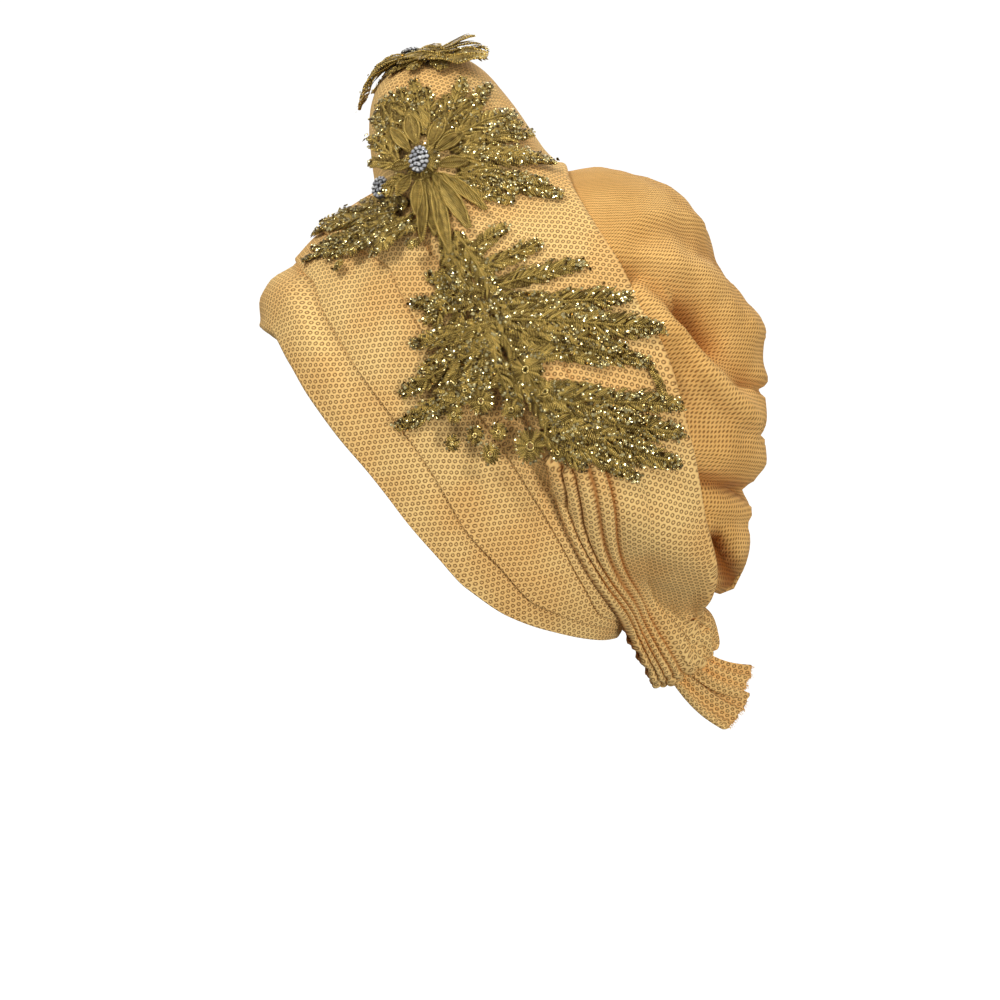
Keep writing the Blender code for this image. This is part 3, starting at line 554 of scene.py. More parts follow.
def bag_relief(d, side):
    """Height of the bag's folds at each place, and how far they lean in the side plane."""
    height = np.zeros(d.shape[:-1])
    lean = np.zeros(d.shape[:-1] + (2,))
    for rise, above, below, leaning, right, start, middle, end in FOLDS:
        way, reach, away = off_line(side, start, middle, end)
        upward = way[..., 0] * reach[..., 1] - way[..., 1] * reach[..., 0]
        width = np.where(upward > 0, above, below) * FOLD_WIDTH * MM
        left = 1 - (1 - right) * ramp(-d[..., 0], -0.12, 0.12)
        shape = left * np.exp(-(away / width) ** 1.7)
        height += rise * MM * shape
        square = np.stack([way[..., 1], -way[..., 0]], axis=-1)
        lean += (leaning * MM * shape)[..., None] * square
    return height, lean


def make_bag():
    """The cap and the full folded bag that it runs on into."""
    around, rings = 310, 138
    turn = np.linspace(-180, 180, around, endpoint=False)
    azimuth = turn + 20 * np.sin(np.radians(turn))
    rise = np.linspace(0, 1, rings)
    rise = rise + 0.06 * np.sin(2 * np.pi * rise)
    rim = smooth(RIM_LINE, full_azimuth(azimuth))[:, None]
    elevation = rim + (89.3 - rim) * rise
    d = directions(azimuth[:, None] + 0 * elevation, elevation)
    puff = bag_puff(d)
    flat = grid = on_head(d, head_radius(d) + puff)
    normals = grid_normals(grid, True)
    side = grid[..., 1:] - HEAD_CENTRE[1:]
    height, lean = bag_relief(d, side)
    past_sash = (side[..., 0] - smooth(REAR_EDGE, side[..., 1])) / FOLD_FADE
    loose = ramp(puff / FOLD_FADE, 0.3, 1.3)
    free = ramp(past_sash, -0.15, 0.75) * loose
    sunk = ramp(past_sash, -1.2, -0.1) * loose
    relief = np.where(height > 0, ROLL_GAIN * free, HOLLOW_GAIN * sunk) * height
    crumple = 0.8 * MM * ripple(grid, 42 * MM, 3) + 0.35 * MM * ripple(grid, 15 * MM, 4)
    outward = np.zeros(grid.shape)
    outward[..., 0] = FOLD_SIDEWAYS * np.sign(d[..., 0]) * ramp(np.abs(d[..., 0]), 0.05, 0.40)
    grid = grid + unit(normals + outward) * (relief + free * crumple)[..., None]
    grid[..., 1:] += lean * free[..., None]
    off_pocket = off_line(side, *POCKET)[2] / MM
    pocket = np.exp(-(off_pocket / POCKET_HALF) ** 4) * ramp(d[..., 0], -0.02, 0.12)
    lip = np.exp(-((off_pocket - LIP_AWAY) / LIP_HALF) ** 2) * ramp(d[..., 0], 0.0, 0.2) * free
    grid[..., 0] += (LIP_HEIGHT * lip - POCKET_DEPTH * pocket) * MM
    outer = grid + unit(normals + grid_normals(grid, True)) * BAG_WALL
    # Painted shade in the folds' hollows, deeper as they sink, and darkest in the pocket
    hollow = np.maximum(ramp(-relief / MM, 0.5, 13) * 0.8, pocket)
    bag = shell("bag_cloth", grid, outer, BAG_CLOTH, flat, closed=True, start=(0, rings // 3), pole=True,
                hollow=hollow)
    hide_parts("crown_bag")
    return bag


def wrap_grid(lower, upper, rise, reach, columns, rows, seed, sag, roll):
    """A band round the head between two edge lines: its two faces and its smooth form.

    It sags and has soft diagonal drag lines. The roll, in mm, is how far it swells out at the forehead.
    """
    turned = np.linspace(-reach, reach, columns, endpoint=reach < 179)[:, None]
    across = (1 - np.cos(np.pi * np.linspace(0, 1, rows) * 0.5))[None, :]
    azimuth = full_azimuth(turned)
    low, high = lower(azimuth), upper(azimuth)
    d = directions(turned + 0 * across, low + (high - low) * across)
    grid = on_head(d, cover_radius(d, rise))
    normals = grid_normals(grid, reach > 179)
    drag = np.sin(azimuth * 0.31 + across * 7 + seed) * np.sin(azimuth * 0.083 + seed)
    depth = 0.45 * drag + 0.5 * ripple(grid, 60 * MM, seed) + 0.2 * ripple(grid, 22 * MM, seed + 5)
    free = ramp(across, 0.0, 0.15) * 0.7 + 0.3
    sagged = grid + normals * (sag * MM * free * (0.4 + 0.6 * depth))[..., None]
    at_hem = 0.15 + 0.75 * ramp(azimuth, 6, 22)
    full = ramp(62 - azimuth, 0, 30) * (at_hem + (1 - at_hem) * ramp(across, 0, 0.28))
    full = full * ramp(0.78 - across, 0, 0.35)
    return sagged, sagged + normals * (WRAP_WALL * 1.3 + roll * MM * full)[..., None], grid


def lap(azimuth):
    """How far a wrap runs on under the next one, in degrees."""
    return 3 + 4 * smooth(((110, 1), (150, 0)), azimuth)


def sash_line(azimuth):
    return smooth(list(zip(SASH_TABLE["front_az"], SASH_TABLE["front_el"])), azimuth)


def make_wraps():
    """The face band with its rolled fold at the forehead, and the two wraps over it."""
    def rim(azimuth):
        return smooth(RIM_LINE, azimuth) - 1.0

    def band(azimuth):
        return smooth(BAND_LINE, azimuth)

    def wrap(azimuth):
        return smooth(WRAP_LINE, azimuth)

    def band_top(azimuth):
        return band(azimuth) + lap(azimuth) * 0.6

    def wrap_middle(azimuth):
        return wrap(azimuth) + lap(azimuth)

    def wrap_top(azimuth):
        return np.maximum(sash_line(azimuth), wrap(azimuth) + 1) + lap(azimuth)

    # Each band's edge lines, rise over the head, reach round it, columns, rows, seed, and sag and roll in mm
    made = []
    ends = WRAPS_END_AZIMUTH
    rows = (
        ("face_band_cloth", "face_band", rim, band_top, BAND_RISE, 180, 460, 18, 1, 0.7, 5.8),
        ("wrap_lower_cloth", "wrap_lower", band, wrap_middle, WRAP_LOWER_RISE, ends, 330, 22, 2, 1.3, 0),
        ("wrap_upper_cloth", "wrap_upper", wrap, wrap_top, WRAP_UPPER_RISE, ends, 300, 20, 6, 1.3, 0),
    )
    for name, solid, lower, upper, rise, reach, columns, count, seed, sag, roll in rows:
        inner, outer, flat = wrap_grid(lower, upper, rise, reach, columns, count, seed, sag, roll)
        start = (int(columns * 0.75), 0)
        piece = shell(name, inner, outer, CLOTH, flat, closed=reach > 179, start=start, banded=True)
        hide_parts(solid)
        made.append(piece)
    return made


# Where each pleat starts, as shares of the sash's width from its front edge
PLEATS = (0.0, 0.085, 0.155, 0.25, 0.36)


def pleat_shape(across):
    """Height of the rolled pleats across the sash, 0 in each crease and 1 on a roll."""
    height = np.ones(across.shape)
    for start, end in zip(PLEATS, PLEATS[1:]):
        t = (across - start) / (end - start)
        roll = np.clip(1 - np.abs(2 * np.clip(t, 0, 1) - 1.1) ** 2.6 * 0.95, 0, 1) ** 0.8
        height = np.where((t >= 0) & (t < 1), roll, height)
    past = (across - PLEATS[-1]) / 0.09
    return np.where(past >= 0, 1 - np.exp(-2.2 * np.clip(past, 0, 9)), height)


def spanned(radius, reach=13, passes=22):
    """Lifts the hollows along the sash, because taut cloth spans them."""
    weights = np.hanning(2 * reach + 3)[1:-1]
    weights = weights / weights.sum()

    def averaged(values):
        wide = np.pad(values, ((reach, reach), (0, 0)), mode="edge")
        return sum(weight * wide[k:k + len(values)] for k, weight in enumerate(weights))

    for _ in range(passes):
        radius = np.maximum(radius, averaged(radius))
    return averaged(radius)


# Dents of the sash's swell by azimuth and elevation: depth and width in mm, and the pitch of the gathers
# round them
DENTS = ((168.6, -44.4, 8.0, 2.8, 0), (169.5, -48.4, 3.5, 5.0, 5.2), (176.0, -52.0, 2.5, 5.0, 4.5))


def knot_swell(d, radius):
    """The sash's end swells out over the knot, dented and gathered round the tie."""
    azimuth = np.degrees(np.arctan2(np.abs(d[..., 0]), -d[..., 1]))
    elevation = np.degrees(np.arcsin(d[..., 2]))
    aside = (180 - azimuth) * np.cos(np.radians(elevation))
    away = np.hypot(aside / KNOT_ASIDE, (elevation - KNOT_MIDDLE) / KNOT_UPWARD)
    share = np.exp(-away ** 3)
    swollen = radius + np.maximum(KNOT_REACH - radius, 0) * share
    degree = np.radians(1) * KNOT_REACH
    for az, el, deep, width, pitch in DENTS:
        far = np.hypot((azimuth - az) * np.cos(np.radians(el)), elevation - el) * degree / MM
        swollen = swollen - deep * MM * np.exp(-(far / width) ** 2) * (0.6 + 0.4 * np.sign(d[..., 0]))
        if pitch:
            swollen = swollen + 0.55 * MM * share * np.cos(2 * np.pi * far / pitch) * np.exp(-(far / 15) ** 2)
    return swollen


def sash_grid(columns, rows, pleat_depth):
    """The sash's two faces, its smooth form and the share of painted shade in its pleats' creases."""
    share = np.linspace(-1, 1, columns)[:, None]
    share = share * (1.45 - 0.45 * np.abs(share))
    across = [np.linspace(0, 1, 13)[:-1] * (b - a) + a for a, b in zip(PLEATS, PLEATS[1:])]
    rest = np.linspace(0, 1, rows - 12 * len(across))
    rest = 0.6 * rest + 0.4 * (1 - np.cos(np.pi * rest)) / 2
    across = np.concatenate(across + [PLEATS[-1] + (1 - PLEATS[-1]) * rest])[None, :]
    share, across = share + 0 * across, across + 0 * share
    way = np.abs(share)
    front, rear = sash_edge(way, "front"), sash_edge(way, "rear")
    angle = np.arccos(np.clip((front * rear).sum(-1), -1, 1))[..., None]
    v = across[..., None]
    d = (front * np.sin((1 - v) * angle) + rear * np.sin(v * angle)) / np.sin(angle)
    d[..., 0] *= np.where(share < 0, -1, 1)
    row = {name: smooth(list(zip(SASH_TABLE["share"], SASH_TABLE[name])), way) for name in SASH_LIFTS}
    arch = (1 - np.abs(2 * across - 1) ** 2.6) ** (1 / 2.6)
    past_wraps = np.clip((across - 0.25) / 0.35, 0, 1) * np.clip((0.9 - way) / 0.1, 0, 1)
    under = SASH_FRONT_RISE + (SASH_REAR_RISE - SASH_FRONT_RISE) * past_wraps
    under = under + (NAPE_RISE - under) * smooth(((WRAPS_END_SHARE, 0), (1, 1)), way)
    lift = row["front_lift"] * (1 - across) + row["rear_lift"] * across + row["hump"] * arch
    radius = cover_radius(d, under) + SASH_LIFT * lift + PEAK_RISE * row["peak"] * smooth(PEAK_ACROSS, across)
    radius = radius + ramp(way, 0.36, 0.48) * (0.4 + 0.6 * ramp(across, 0, 0.22)) * (spanned(radius) - radius)
    radius = knot_swell(d, radius)
    grid = on_head(d, radius)
    normals = grid_normals(grid, False)
    height = pleat_depth * row["pleat"] * (pleat_shape(across) - 0.35)
    gather = ramp(way, 0.80, 0.97) * ramp(across, 0.3, 0.45) * 0.7 * MM
    height += gather * np.cos(across * 34 + 3 * way)
    calm = ramp(across, 0.40, 0.55) * ramp(1 - across, 0.02, 0.2)
    height += calm * (0.9 * MM * ripple(grid, 70 * MM, 11) + 0.35 * MM * ripple(grid, 26 * MM, 12))
    ruffle = np.exp(-(across / 0.10) ** 2) * ramp(way, 0.87, 0.92)
    height += ruffle * 1.7 * MM * np.cos(2 * np.pi * 46 * way + 9 * across)
    hem = np.exp(-((1 - across) / 0.035) ** 2) * (1 - ramp(way, 0.05, 0.2) * 0.4)
    height += 0.7 * MM * hem
    outer = grid + normals * (SASH_WALL + height)[..., None]
    # Painted shade in the pleats' creases, by how deep each place lies in one
    crease_shade = ramp(row["pleat"] * (1 - pleat_shape(across)), 0.3, 1.0) * (across < PLEATS[-1] + 0.09)
    return grid + normals * np.minimum(height, 0.3 * MM)[..., None], outer, grid, crease_shade * 0.85


def make_sash():
    """The sash over the crown with its tall hollow peak, pleated on its way down to the nape."""
    inner, outer, flat, crease_shade = sash_grid(400, 96, 3.0 * MM)
    sash = shell("sash_cloth", inner, outer, CLOTH, flat, start=(300, 0), banded=True, hollow=crease_shade)
    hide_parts("sash")
    return sash


def box_of(node_name):
    """A node's lowest and highest corner."""
    low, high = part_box(node_name)
    return np.array(low), np.array(high)


# Dents of the knot itself: the way each faces, its width and its depth as shares of the knot's size
KNOT_DENTS = (
    ((0.80, 0.28, 0.42), 0.26, 0.20), ((0.85, 0.35, -0.35), 0.22, 0.16), ((0.45, 0.85, -0.10), 0.20, 0.10),
    ((-0.75, 0.50, 0.20), 0.30, 0.16), ((0.95, -0.25, 0.10), 0.35, 0.05),
)


def make_knot():
    """The round gathered knot: pleats that run into the tie from which the tails leave."""
    low, high = box_of("knot")
    middle, half = (low + high) / 2, (high - low) / 2 * 0.9
    axis = unit(np.array([0.12, 0.60, -0.80]))
    side = unit(np.cross(axis, [1, 0, 0]))
    other = np.cross(axis, side)
    around, count = 150, 76
    turn = np.linspace(0, 2 * np.pi, around, endpoint=False)[:, None]
    down = np.linspace(0.012, np.pi - 0.012, count)[None, :]
    ball = (axis * np.cos(down)[..., None] + side * (np.sin(down) * np.cos(turn))[..., None]
            + other * (np.sin(down) * np.sin(turn))[..., None])
    swirl = turn + 0.9 * np.cos(down) + 0.25 * np.sin(2 * turn)
    fold = 0.5 * np.cos(11 * swirl) + 0.3 * np.cos(17 * swirl + 2) + 0.3 * np.cos(6 * swirl + 1)
    fold = np.sign(fold) * np.abs(fold) ** 0.8
    near_tie = 0.25 + 0.75 * ramp(-down, -1.3, -0.4)
    bulge = 1.0 + 0.075 * fold * near_tie
    for spot, width, deep in KNOT_DENTS:
        near = np.linalg.norm(ball - unit(np.array(spot)), axis=-1)
        bulge = bulge - deep * np.exp(-(near / width) ** 2)
        bulge = bulge + 0.35 * deep * np.exp(-((near - 1.9 * width) / (0.8 * width)) ** 2)
    squeeze = 1 - 0.35 * ramp(-down, -0.55, -0.1)
    points = middle + ball * half * (bulge * squeeze)[..., None]
    points = points + 0.3 * MM * (ripple(points, 12 * MM, 21))[..., None] * ball
    u = turn * half.mean() + 0 * down
    v = down * half.mean() + 0 * turn
    faces = quads(around, count, True, False)
    flat = np.vstack([points.reshape(-1, 3), points[:, 0].mean(0), points[:, -1].mean(0)])
    uv = np.vstack([np.stack([u, v], -1).reshape(-1, 2), [[0, 0], [0, v.max()]]])
    pole = around * count
    for i in range(around):
        j = (i + 1) % around
        faces.append([pole, j * count, i * count])
        faces.append([pole + 1, i * count + count - 1, j * count + count - 1])
    knot = add_mesh("knot_cloth", flat, faces, CLOTH, uv)
    face_outward(knot)
    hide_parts("knot")
    return knot


# Tails: the solid, where it starts and its run, its width and its folds' depth, in mm, and their phase and
# the seed
TAILS = (
    ("tail_upper", (4, 103, -227), (2, 30, -16), 19, 1.8, 1.8, 31),
    ("tail_lower", (3, 97, -233), (0, 32, -26), 24, 2.2, 0.6, 37),
)


def make_tail(name, root, run, width, fold_depth, phase, seed):
    """A short gathered end: narrow at the tie, folded along its length, cut and frayed at its tip."""
    root, run = np.array(root) * MM, np.array(run) * MM
    way = unit(run)
    across_way = unit(unit(np.cross(run, [1, 0, 0])) + np.array([0.55, 0, 0]))
    off = np.cross(way, across_way)
    along = np.linspace(0, 1, 46)[:, None]
    across = np.linspace(-0.5, 0.5, 64)[None, :]
    spread = (0.55 + 0.45 * along ** 0.8) * width * MM
    waves = np.cos(2 * np.pi * (across * 2.2 + phase)) + 0.35 * np.cos(2 * np.pi * (across * 5.1 + phase * 2))
    fold = fold_depth * MM * waves * (1.0 - 0.45 * along)
    curl = 1.5 * MM * along ** 2 * (4 * across ** 2)
    edge = 1 + 0.012 * np.sin(across * 19 + seed) + 0.005 * np.sin(across * 47 + 2 * seed)
    edge = edge - 0.06 * (2 * across) ** 6
    sag = -3 * MM * np.sin(np.pi * along)
    grid = (root + run * (along * edge)[..., None] + across_way * (across * spread)[..., None]
            + off * (fold - curl)[..., None] + np.array([0, 0, 1]) * (sag + 0 * across)[..., None])
    outer = grid + off * 1.5 * MM
    piece = shell(name + "_cloth", grid, outer, CLOTH, grid, start=(0, 32))
    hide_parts(name)
    tip = grid[-1]
    rng = np.random.default_rng(seed)
    strands, faces = [], []
    for _ in range(90):
        j = rng.integers(1, len(tip) - 2)
        base = tip[j] + (tip[j + 1] - tip[j]) * rng.uniform() - way * 0.6 * MM
        length = rng.uniform(0.6, 2.1) * MM
        bend = rng.normal(size=3) * 0.45
        line = [base + (way + bend * s * 0.6) * length * s for s in (0, 0.5, 1.0)]
        add_strand(strands, faces, line, 0.11 * MM)
    return piece, (strands, faces)


def add_strand(points, faces, line, radius):
    """A thin three-sided thread along a line of points, closed at both ends."""
    start = len(points)
    line = np.array(line)
    way = unit(np.gradient(line, axis=0))
    side = unit(np.cross(way, [0.31, 0.52, 0.79]))
    other = np.cross(way, side)
    thirds = (0, 2.094, 4.189)
    for k in range(len(line)):
        for angle in thirds:
            points.append(line[k] + radius * (side[k] * math.cos(angle) + other[k] * math.sin(angle)))
    for k in range(len(line) - 1):
        for m in range(3):
            a = start + 3 * k + m
            b = start + 3 * k + (m + 1) % 3
            faces.append([a, b, b + 3, a + 3])
    faces.append([start + 2, start + 1, start])
    last = start + 3 * (len(line) - 1)
    faces.append([last, last + 1, last + 2])


def make_cloth():
    """All the cloth pieces, each on the root body with its finish."""
    pieces = [make_bag(), *make_wraps(), make_sash(), make_knot()]
    strands, faces = [], []
    for row in TAILS:
        piece, (points, more) = make_tail(*row)
        faces += [[len(strands) + i for i in face] for face in more]
        strands += points
        pieces.append(piece)
    fray = add_mesh("tail_fray", strands, faces, CLOTH, np.zeros((len(strands), 2)))
    pieces.append(fray)
    for piece in pieces:
        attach(piece, "root")
    return pieces


# Lace


def cloth_tree(pieces):
    """The surfaces of the cloth pieces as one search tree."""
    points, faces = [], []
    for piece in pieces:
        mesh = piece.data
        start = len(points)
        points += [vert.co for vert in mesh.vertices]
        faces += [[start + i for i in face.vertices] for face in mesh.polygons]
    return BVHTree.FromPolygons(points, faces)


EYE = Vector(EYE_PLACE)
PIXEL = 0.5 * MM / EYE_AWAY


class Field:
    """A motif's flat place over the cloth. It lays points right, up and off it on the cloth below."""

    STEP = 1.5 * MM
    HALF = 96 * MM

    def __init__(self, tree, azimuth, elevation, facing, fall):
        self.tree = tree
        self.out = Vector(facing).normalized()
        self.right = Vector((0, 0, 1)).cross(self.out).normalized()
        self.up = self.out.cross(self.right)
        way = Vector(directions(np.float64(azimuth), np.float64(elevation)))
        self.middle = tree.ray_cast(Vector(HEAD_CENTRE) + way * LOOK_FROM, -way)[0]
        line = np.arange(-self.HALF, self.HALF + self.STEP / 2, self.STEP)
        self.count = len(line)
        heights = np.empty((self.count, self.count))
        for i, x in enumerate(line):
            for j, y in enumerate(line):
                lowest = -fall * (x * x + y * y) / LACE_SPAN
                start = self.middle + self.right * x + self.up * y + self.out * LOOK_FROM
                found = tree.ray_cast(start, -self.out)[0]
                height = lowest if found is None else (found - self.middle).dot(self.out)
                heights[i, j] = max(height, lowest)
        for combine in (np.max, np.mean, np.mean):
            wide = np.pad(heights, 1, mode="edge")
            nine = [wide[i:i + self.count, j:j + self.count] for i in range(3) for j in range(3)]
            heights = combine(nine, axis=0)
        self.heights = heights
        self.slopes = np.gradient(heights, self.STEP)

    def sampled(self, values, x, y):
        """Values of a grid over the motif at places between its points."""
        i = np.clip((x + self.HALF) / self.STEP, 0, self.count - 1.001)
        j = np.clip((y + self.HALF) / self.STEP, 0, self.count - 1.001)
        a, b = i.astype(int), j.astype(int)
        s, t = i - a, j - b
        return ((values[a, b] * (1 - t) + values[a, b + 1] * t) * (1 - s)
                + (values[a + 1, b] * (1 - t) + values[a + 1, b + 1] * t) * s)

    def normals(self, x, y):
        lean_x, lean_y = (np.clip(self.sampled(slope, x, y), -2.5, 2.5)[..., None] for slope in self.slopes)
        return unit(np.array(self.out) - lean_x * np.array(self.right) - lean_y * np.array(self.up))

    def points(self, x, y, off):
        base = (np.array(self.middle) + x[..., None] * np.array(self.right) + y[..., None] * np.array(self.up)
                + self.sampled(self.heights, x, y)[..., None] * np.array(self.out))
        return base + self.normals(x, y) * off[..., None]

    def spot(self, pixel):
        """The motif's own place of what shows at a pixel of the photograph."""
        across, down = pixel
        look = Vector((-1, (across - PHOTO_MIDDLE) * PIXEL, (PHOTO_MIDDLE - down) * PIXEL)).normalized()
        found = self.tree.ray_cast(EYE, look)[0]
        if found is None:
            found = EYE + look * (self.middle - EYE).dot(self.out) / look.dot(self.out)
        gap = found - self.middle
        return np.array([gap.dot(self.right), gap.dot(self.up)])


# A pad's cross sections along it and the angles round each, and the step from leaflet to leaflet of a frond
STATIONS = np.array([0, 0.09, 0.26, 0.5, 0.74, 0.91, 1])
RING = np.radians([-25, 35, 90, 145, 205])
LEAFLET_STEP = 2.1 * MM


def ray_at(angle):
    return np.array([math.cos(angle), math.sin(angle)])


class Lace:
    """Collects the pads, sequins and beads of one motif."""

    def __init__(self, field, seed):
        self.field = field
        self.rng = np.random.default_rng(seed)
        self.pads, self.discs, self.balls = [], [], []

    def pad(self, start, end, half, height, off, end_off=None, bend=0.0, tone=None):
        """A satin-stitched grain from start to end: bend is its bow to the side."""
        end_off = off if end_off is None else end_off
        tone = self.rng.uniform(0.1, 0.9) if tone is None else tone
        self.pads.append([*start, *end, half, height, off, end_off, bend, tone])

    def disc(self, spot, off, radius):
        self.discs.append([*spot, off, radius, *self.rng.normal(0, 0.42, 2), self.rng.uniform()])

    def ball(self, spot, off, radius):
        self.balls.append([*spot, off, radius, self.rng.uniform(0.4, 1.0)])

    def frond(self, base, tip, width, glitter, bow=0.0, lift=0.0):
        """A feather of satin leaflets on both sides of a rib, with glitter toward its tip."""
        rng = self.rng
        base, tip = np.array(base), np.array(tip)
        run = tip - base
        length = np.linalg.norm(run)
        side = np.array([-run[1], run[0]]) / length
        layer = rng.uniform(0.3, 1.5) * MM

        def line(t):
            return base + run * t + side * bow * 4 * t * (1 - t)

        def off(t):
            return layer + lift * t ** 2

        count = max(4, int(length / LEAFLET_STEP))
        self.pad(base, tip, width * 0.55, 0.4 * MM, layer * 0.5, layer * 0.5 + lift, bow, 0.05)
        for k in range(4):
            first, last = k / 4, (k + 1.15) / 4
            self.pad(line(first), line(last), 0.75 * MM, 0.8 * MM, off(first) + 0.5 * MM,
                     off(last) + 0.4 * MM, 0, rng.uniform(0.45, 0.7))
        for k in range(count):
            t = (k + 0.5) / count
            here, ahead = line(t), line(min(t + 0.02, 1.02))
            way = (ahead - here) / np.linalg.norm(ahead - here)
            spread = width * math.sin(math.pi * (0.20 + 0.77 * t)) ** 0.7 + 1.2 * MM
            for hand in (1, -1):
                angle = hand * math.radians(rng.uniform(26, 40))
                turned = np.array([way[0] * math.cos(angle) - way[1] * math.sin(angle),
                                   way[0] * math.sin(angle) + way[1] * math.cos(angle)])
                reach = spread * rng.uniform(0.82, 1.12)
                end = here + turned * reach
                rise = off(t) + rng.uniform(-0.1, 0.5) * MM
                self.pad(here, end, rng.uniform(0.75, 1.0) * MM, rng.uniform(0.55, 0.9) * MM, rise,
                         rise + rng.uniform(-0.2, 0.5) * MM, hand * reach * rng.uniform(0.02, 0.09))
                if rng.uniform() < glitter * (0.25 + 1.2 * t):
                    for _ in range(rng.integers(1, 5)):
                        spot = here + turned * reach * rng.uniform(0.25, 1.02) + rng.normal(0, 0.6 * MM, 2)
                        self.disc(spot, rise + rng.uniform(0.9, 1.7) * MM, rng.uniform(0.50, 0.92) * MM)
                if rng.uniform() < glitter * 0.25:
                    spot = here + turned * reach * rng.uniform(0.5, 1.0)
                    self.ball(spot, rise + 1.1 * MM, rng.uniform(0.45, 0.7) * MM)
        self.pad(line(0.9), tip + run / length * width * 0.25, 1.0 * MM, 0.9 * MM,
                 off(0.9) + 0.2 * MM, off(1.0) + 0.2 * MM)
        for _ in range(int(3 * glitter + 0.5)):
            self.disc(tip + rng.normal(0, 0.9 * MM, 2), off(1.0) + 1.2 * MM, rng.uniform(0.55, 0.95) * MM)

    def floret(self, centre, radius, glitter=0.6):
        """A round flower of radial stitches with a beaded rim and a dark eye."""
        rng = self.rng
        layer = rng.uniform(2.2, 3.0) * MM
        count = int(2 * math.pi * radius / (1.75 * MM))
        for k in range(count):
            angle = 2 * math.pi * (k + rng.uniform(-0.15, 0.15)) / count
            ray = ray_at(angle)
            end = centre + ray * radius * rng.uniform(0.93, 1.04)
            self.pad(centre + ray * radius * 0.22, end, 0.72 * MM, 0.75 * MM,
                     layer + 0.6 * MM, layer - 0.4 * MM)
            if rng.uniform() < glitter:
                spot = centre + ray * radius * rng.uniform(0.8, 1.0)
                self.disc(spot, layer + 1.3 * MM, rng.uniform(0.5, 0.85) * MM)
        beads = max(5, count // 2)
        for k in range(beads):
            spot = centre + radius * 0.2 * ray_at(2 * math.pi * (k + 0.3) / beads)
            self.ball(spot, layer + 0.9 * MM, 0.5 * MM)

    def petal(self, base, tip, half, bow=0.0, lift=0.0):
        """A broad satin petal with a raised rim on both sides and a rib."""
        base, tip = np.array(base), np.array(tip)
        run = tip - base
        side = np.array([-run[1], run[0]]) / np.linalg.norm(run)
        layer = self.rng.uniform(1.2, 2.4) * MM
        tone = self.rng.uniform(0.35, 0.6)
        self.pad(base, tip, half, 0.8 * MM, layer, layer + lift, bow, tone)
        for hand in (1, -1):
            self.pad(base, tip, 0.55 * MM, 0.9 * MM, layer + 0.5 * MM, layer + lift + 0.4 * MM,
                     bow + hand * half * 0.92, tone + 0.2)
        self.pad(base, base + run * 0.9, 0.5 * MM, 0.7 * MM, layer + 0.8 * MM, layer + lift + 0.6 * MM,
                 bow, tone - 0.15)

    def ribbon(self, route, half):
        """A satin-stitched ribbon square to a route of places and lifts in mm, in soft waves."""
        steps = np.linspace(0, 1, len(route))
        count = 64
        along = np.linspace(0, 1, count)
        x, y, lift = (smooth(list(zip(steps, column)), along) * MM for column in np.array(route, float).T)
        line = np.stack([x, y], axis=-1)
        way = unit(np.gradient(line, axis=0))
        side = np.stack([-way[:, 1], way[:, 0]], axis=-1)
        wave = np.sin(along * 21) * 1.2 * MM
        width = half * (0.55 + 0.45 * np.sin(np.pi * along) ** 0.5) * (1 + 0.14 * np.sin(along * 33))
        near, far = line - side * width[:, None], line + side * width[:, None]
        near_off, far_off = lift + wave + 0.8 * MM, lift - 0.6 * wave + 1.6 * MM
        for k in range(count):
            # The stitches' tone rises and falls with the ribbon's waves: painted light and shade on their
            # tilt, with a little tone of their own at random
            tone = 0.50 + 0.25 * math.sin(along[k] * 21) + self.rng.uniform(-0.1, 0.1)
            self.pad(near[k], far[k], 0.75 * MM, 0.9 * MM, near_off[k], far_off[k], 0, tone)
        for edge, off in ((near, near_off), (far, far_off), (line, (near_off + far_off) / 2 + 0.3 * MM)):
            for k in range(0, count - 2, 2):
                self.pad(edge[k], edge[k + 2] + (edge[k + 2] - edge[k]) * 0.2, 0.7 * MM, 1.1 * MM,
                         off[k] + 0.2 * MM, off[k + 2] + 0.2 * MM, 0, self.rng.uniform(0.5, 0.9))
                if self.rng.uniform() < 0.6:
                    self.disc(edge[k] + self.rng.normal(0, 0.5 * MM, 2), off[k] + 1.6 * MM, 0.7 * MM)

    def build(self, name, solid):
        """The motif's pieces: its stitched pads, which stand for the solid, its sequins and its beads."""
        rows = np.array(self.pads)
        start, end = rows[:, None, 0:2], rows[:, None, 2:4]
        half, height, off, end_off, bend, tone = rows[:, 4:].T[..., None]
        run = end - start
        length = np.linalg.norm(run, axis=-1)
        side = np.stack([-run[..., 1], run[..., 0]], axis=-1) / np.maximum(length, 1e-9)[..., None]
        s = STATIONS[None, :]
        centre = start + run * s[..., None] + side * (bend * 4 * s * (1 - s))[..., None]
        girth = np.sin(np.pi * (0.07 + 0.86 * s)) ** 0.6
        lateral = half[..., None] * girth[..., None] * np.cos(RING)
        lift = (off + (end_off - off) * s)[..., None]
        lift = lift + height[..., None] * girth[..., None] * 0.5 * (1 + np.sin(RING))
        place = centre[:, :, None, :] + side[:, :, None, :] * lateral[..., None]
        points = self.field.points(place[..., 0], place[..., 1], lift)
        u = (length * s)[..., None] + 0 * lateral
        v = lateral
        one = quads(len(STATIONS), len(RING), False, True)
        one += [list(range(len(RING)))[::-1], [(len(STATIONS) - 1) * len(RING) + k for k in range(len(RING))]]
        size = len(STATIONS) * len(RING)
        faces = [[k * size + i for i in face] for k in range(len(rows)) for face in one]
        gold = add_mesh(name + "_satin", points, faces, SATIN, np.stack([u, v], -1))
        add_tone(gold, np.repeat(rows[:, 9], size))
        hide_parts(solid)
        made = [gold]
        if self.discs:
            made.append(self.build_discs(name + "_sequins"))
        if self.balls:
            made.append(self.build_balls(name + "_beads"))
        for piece in made:
            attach(piece, "root")

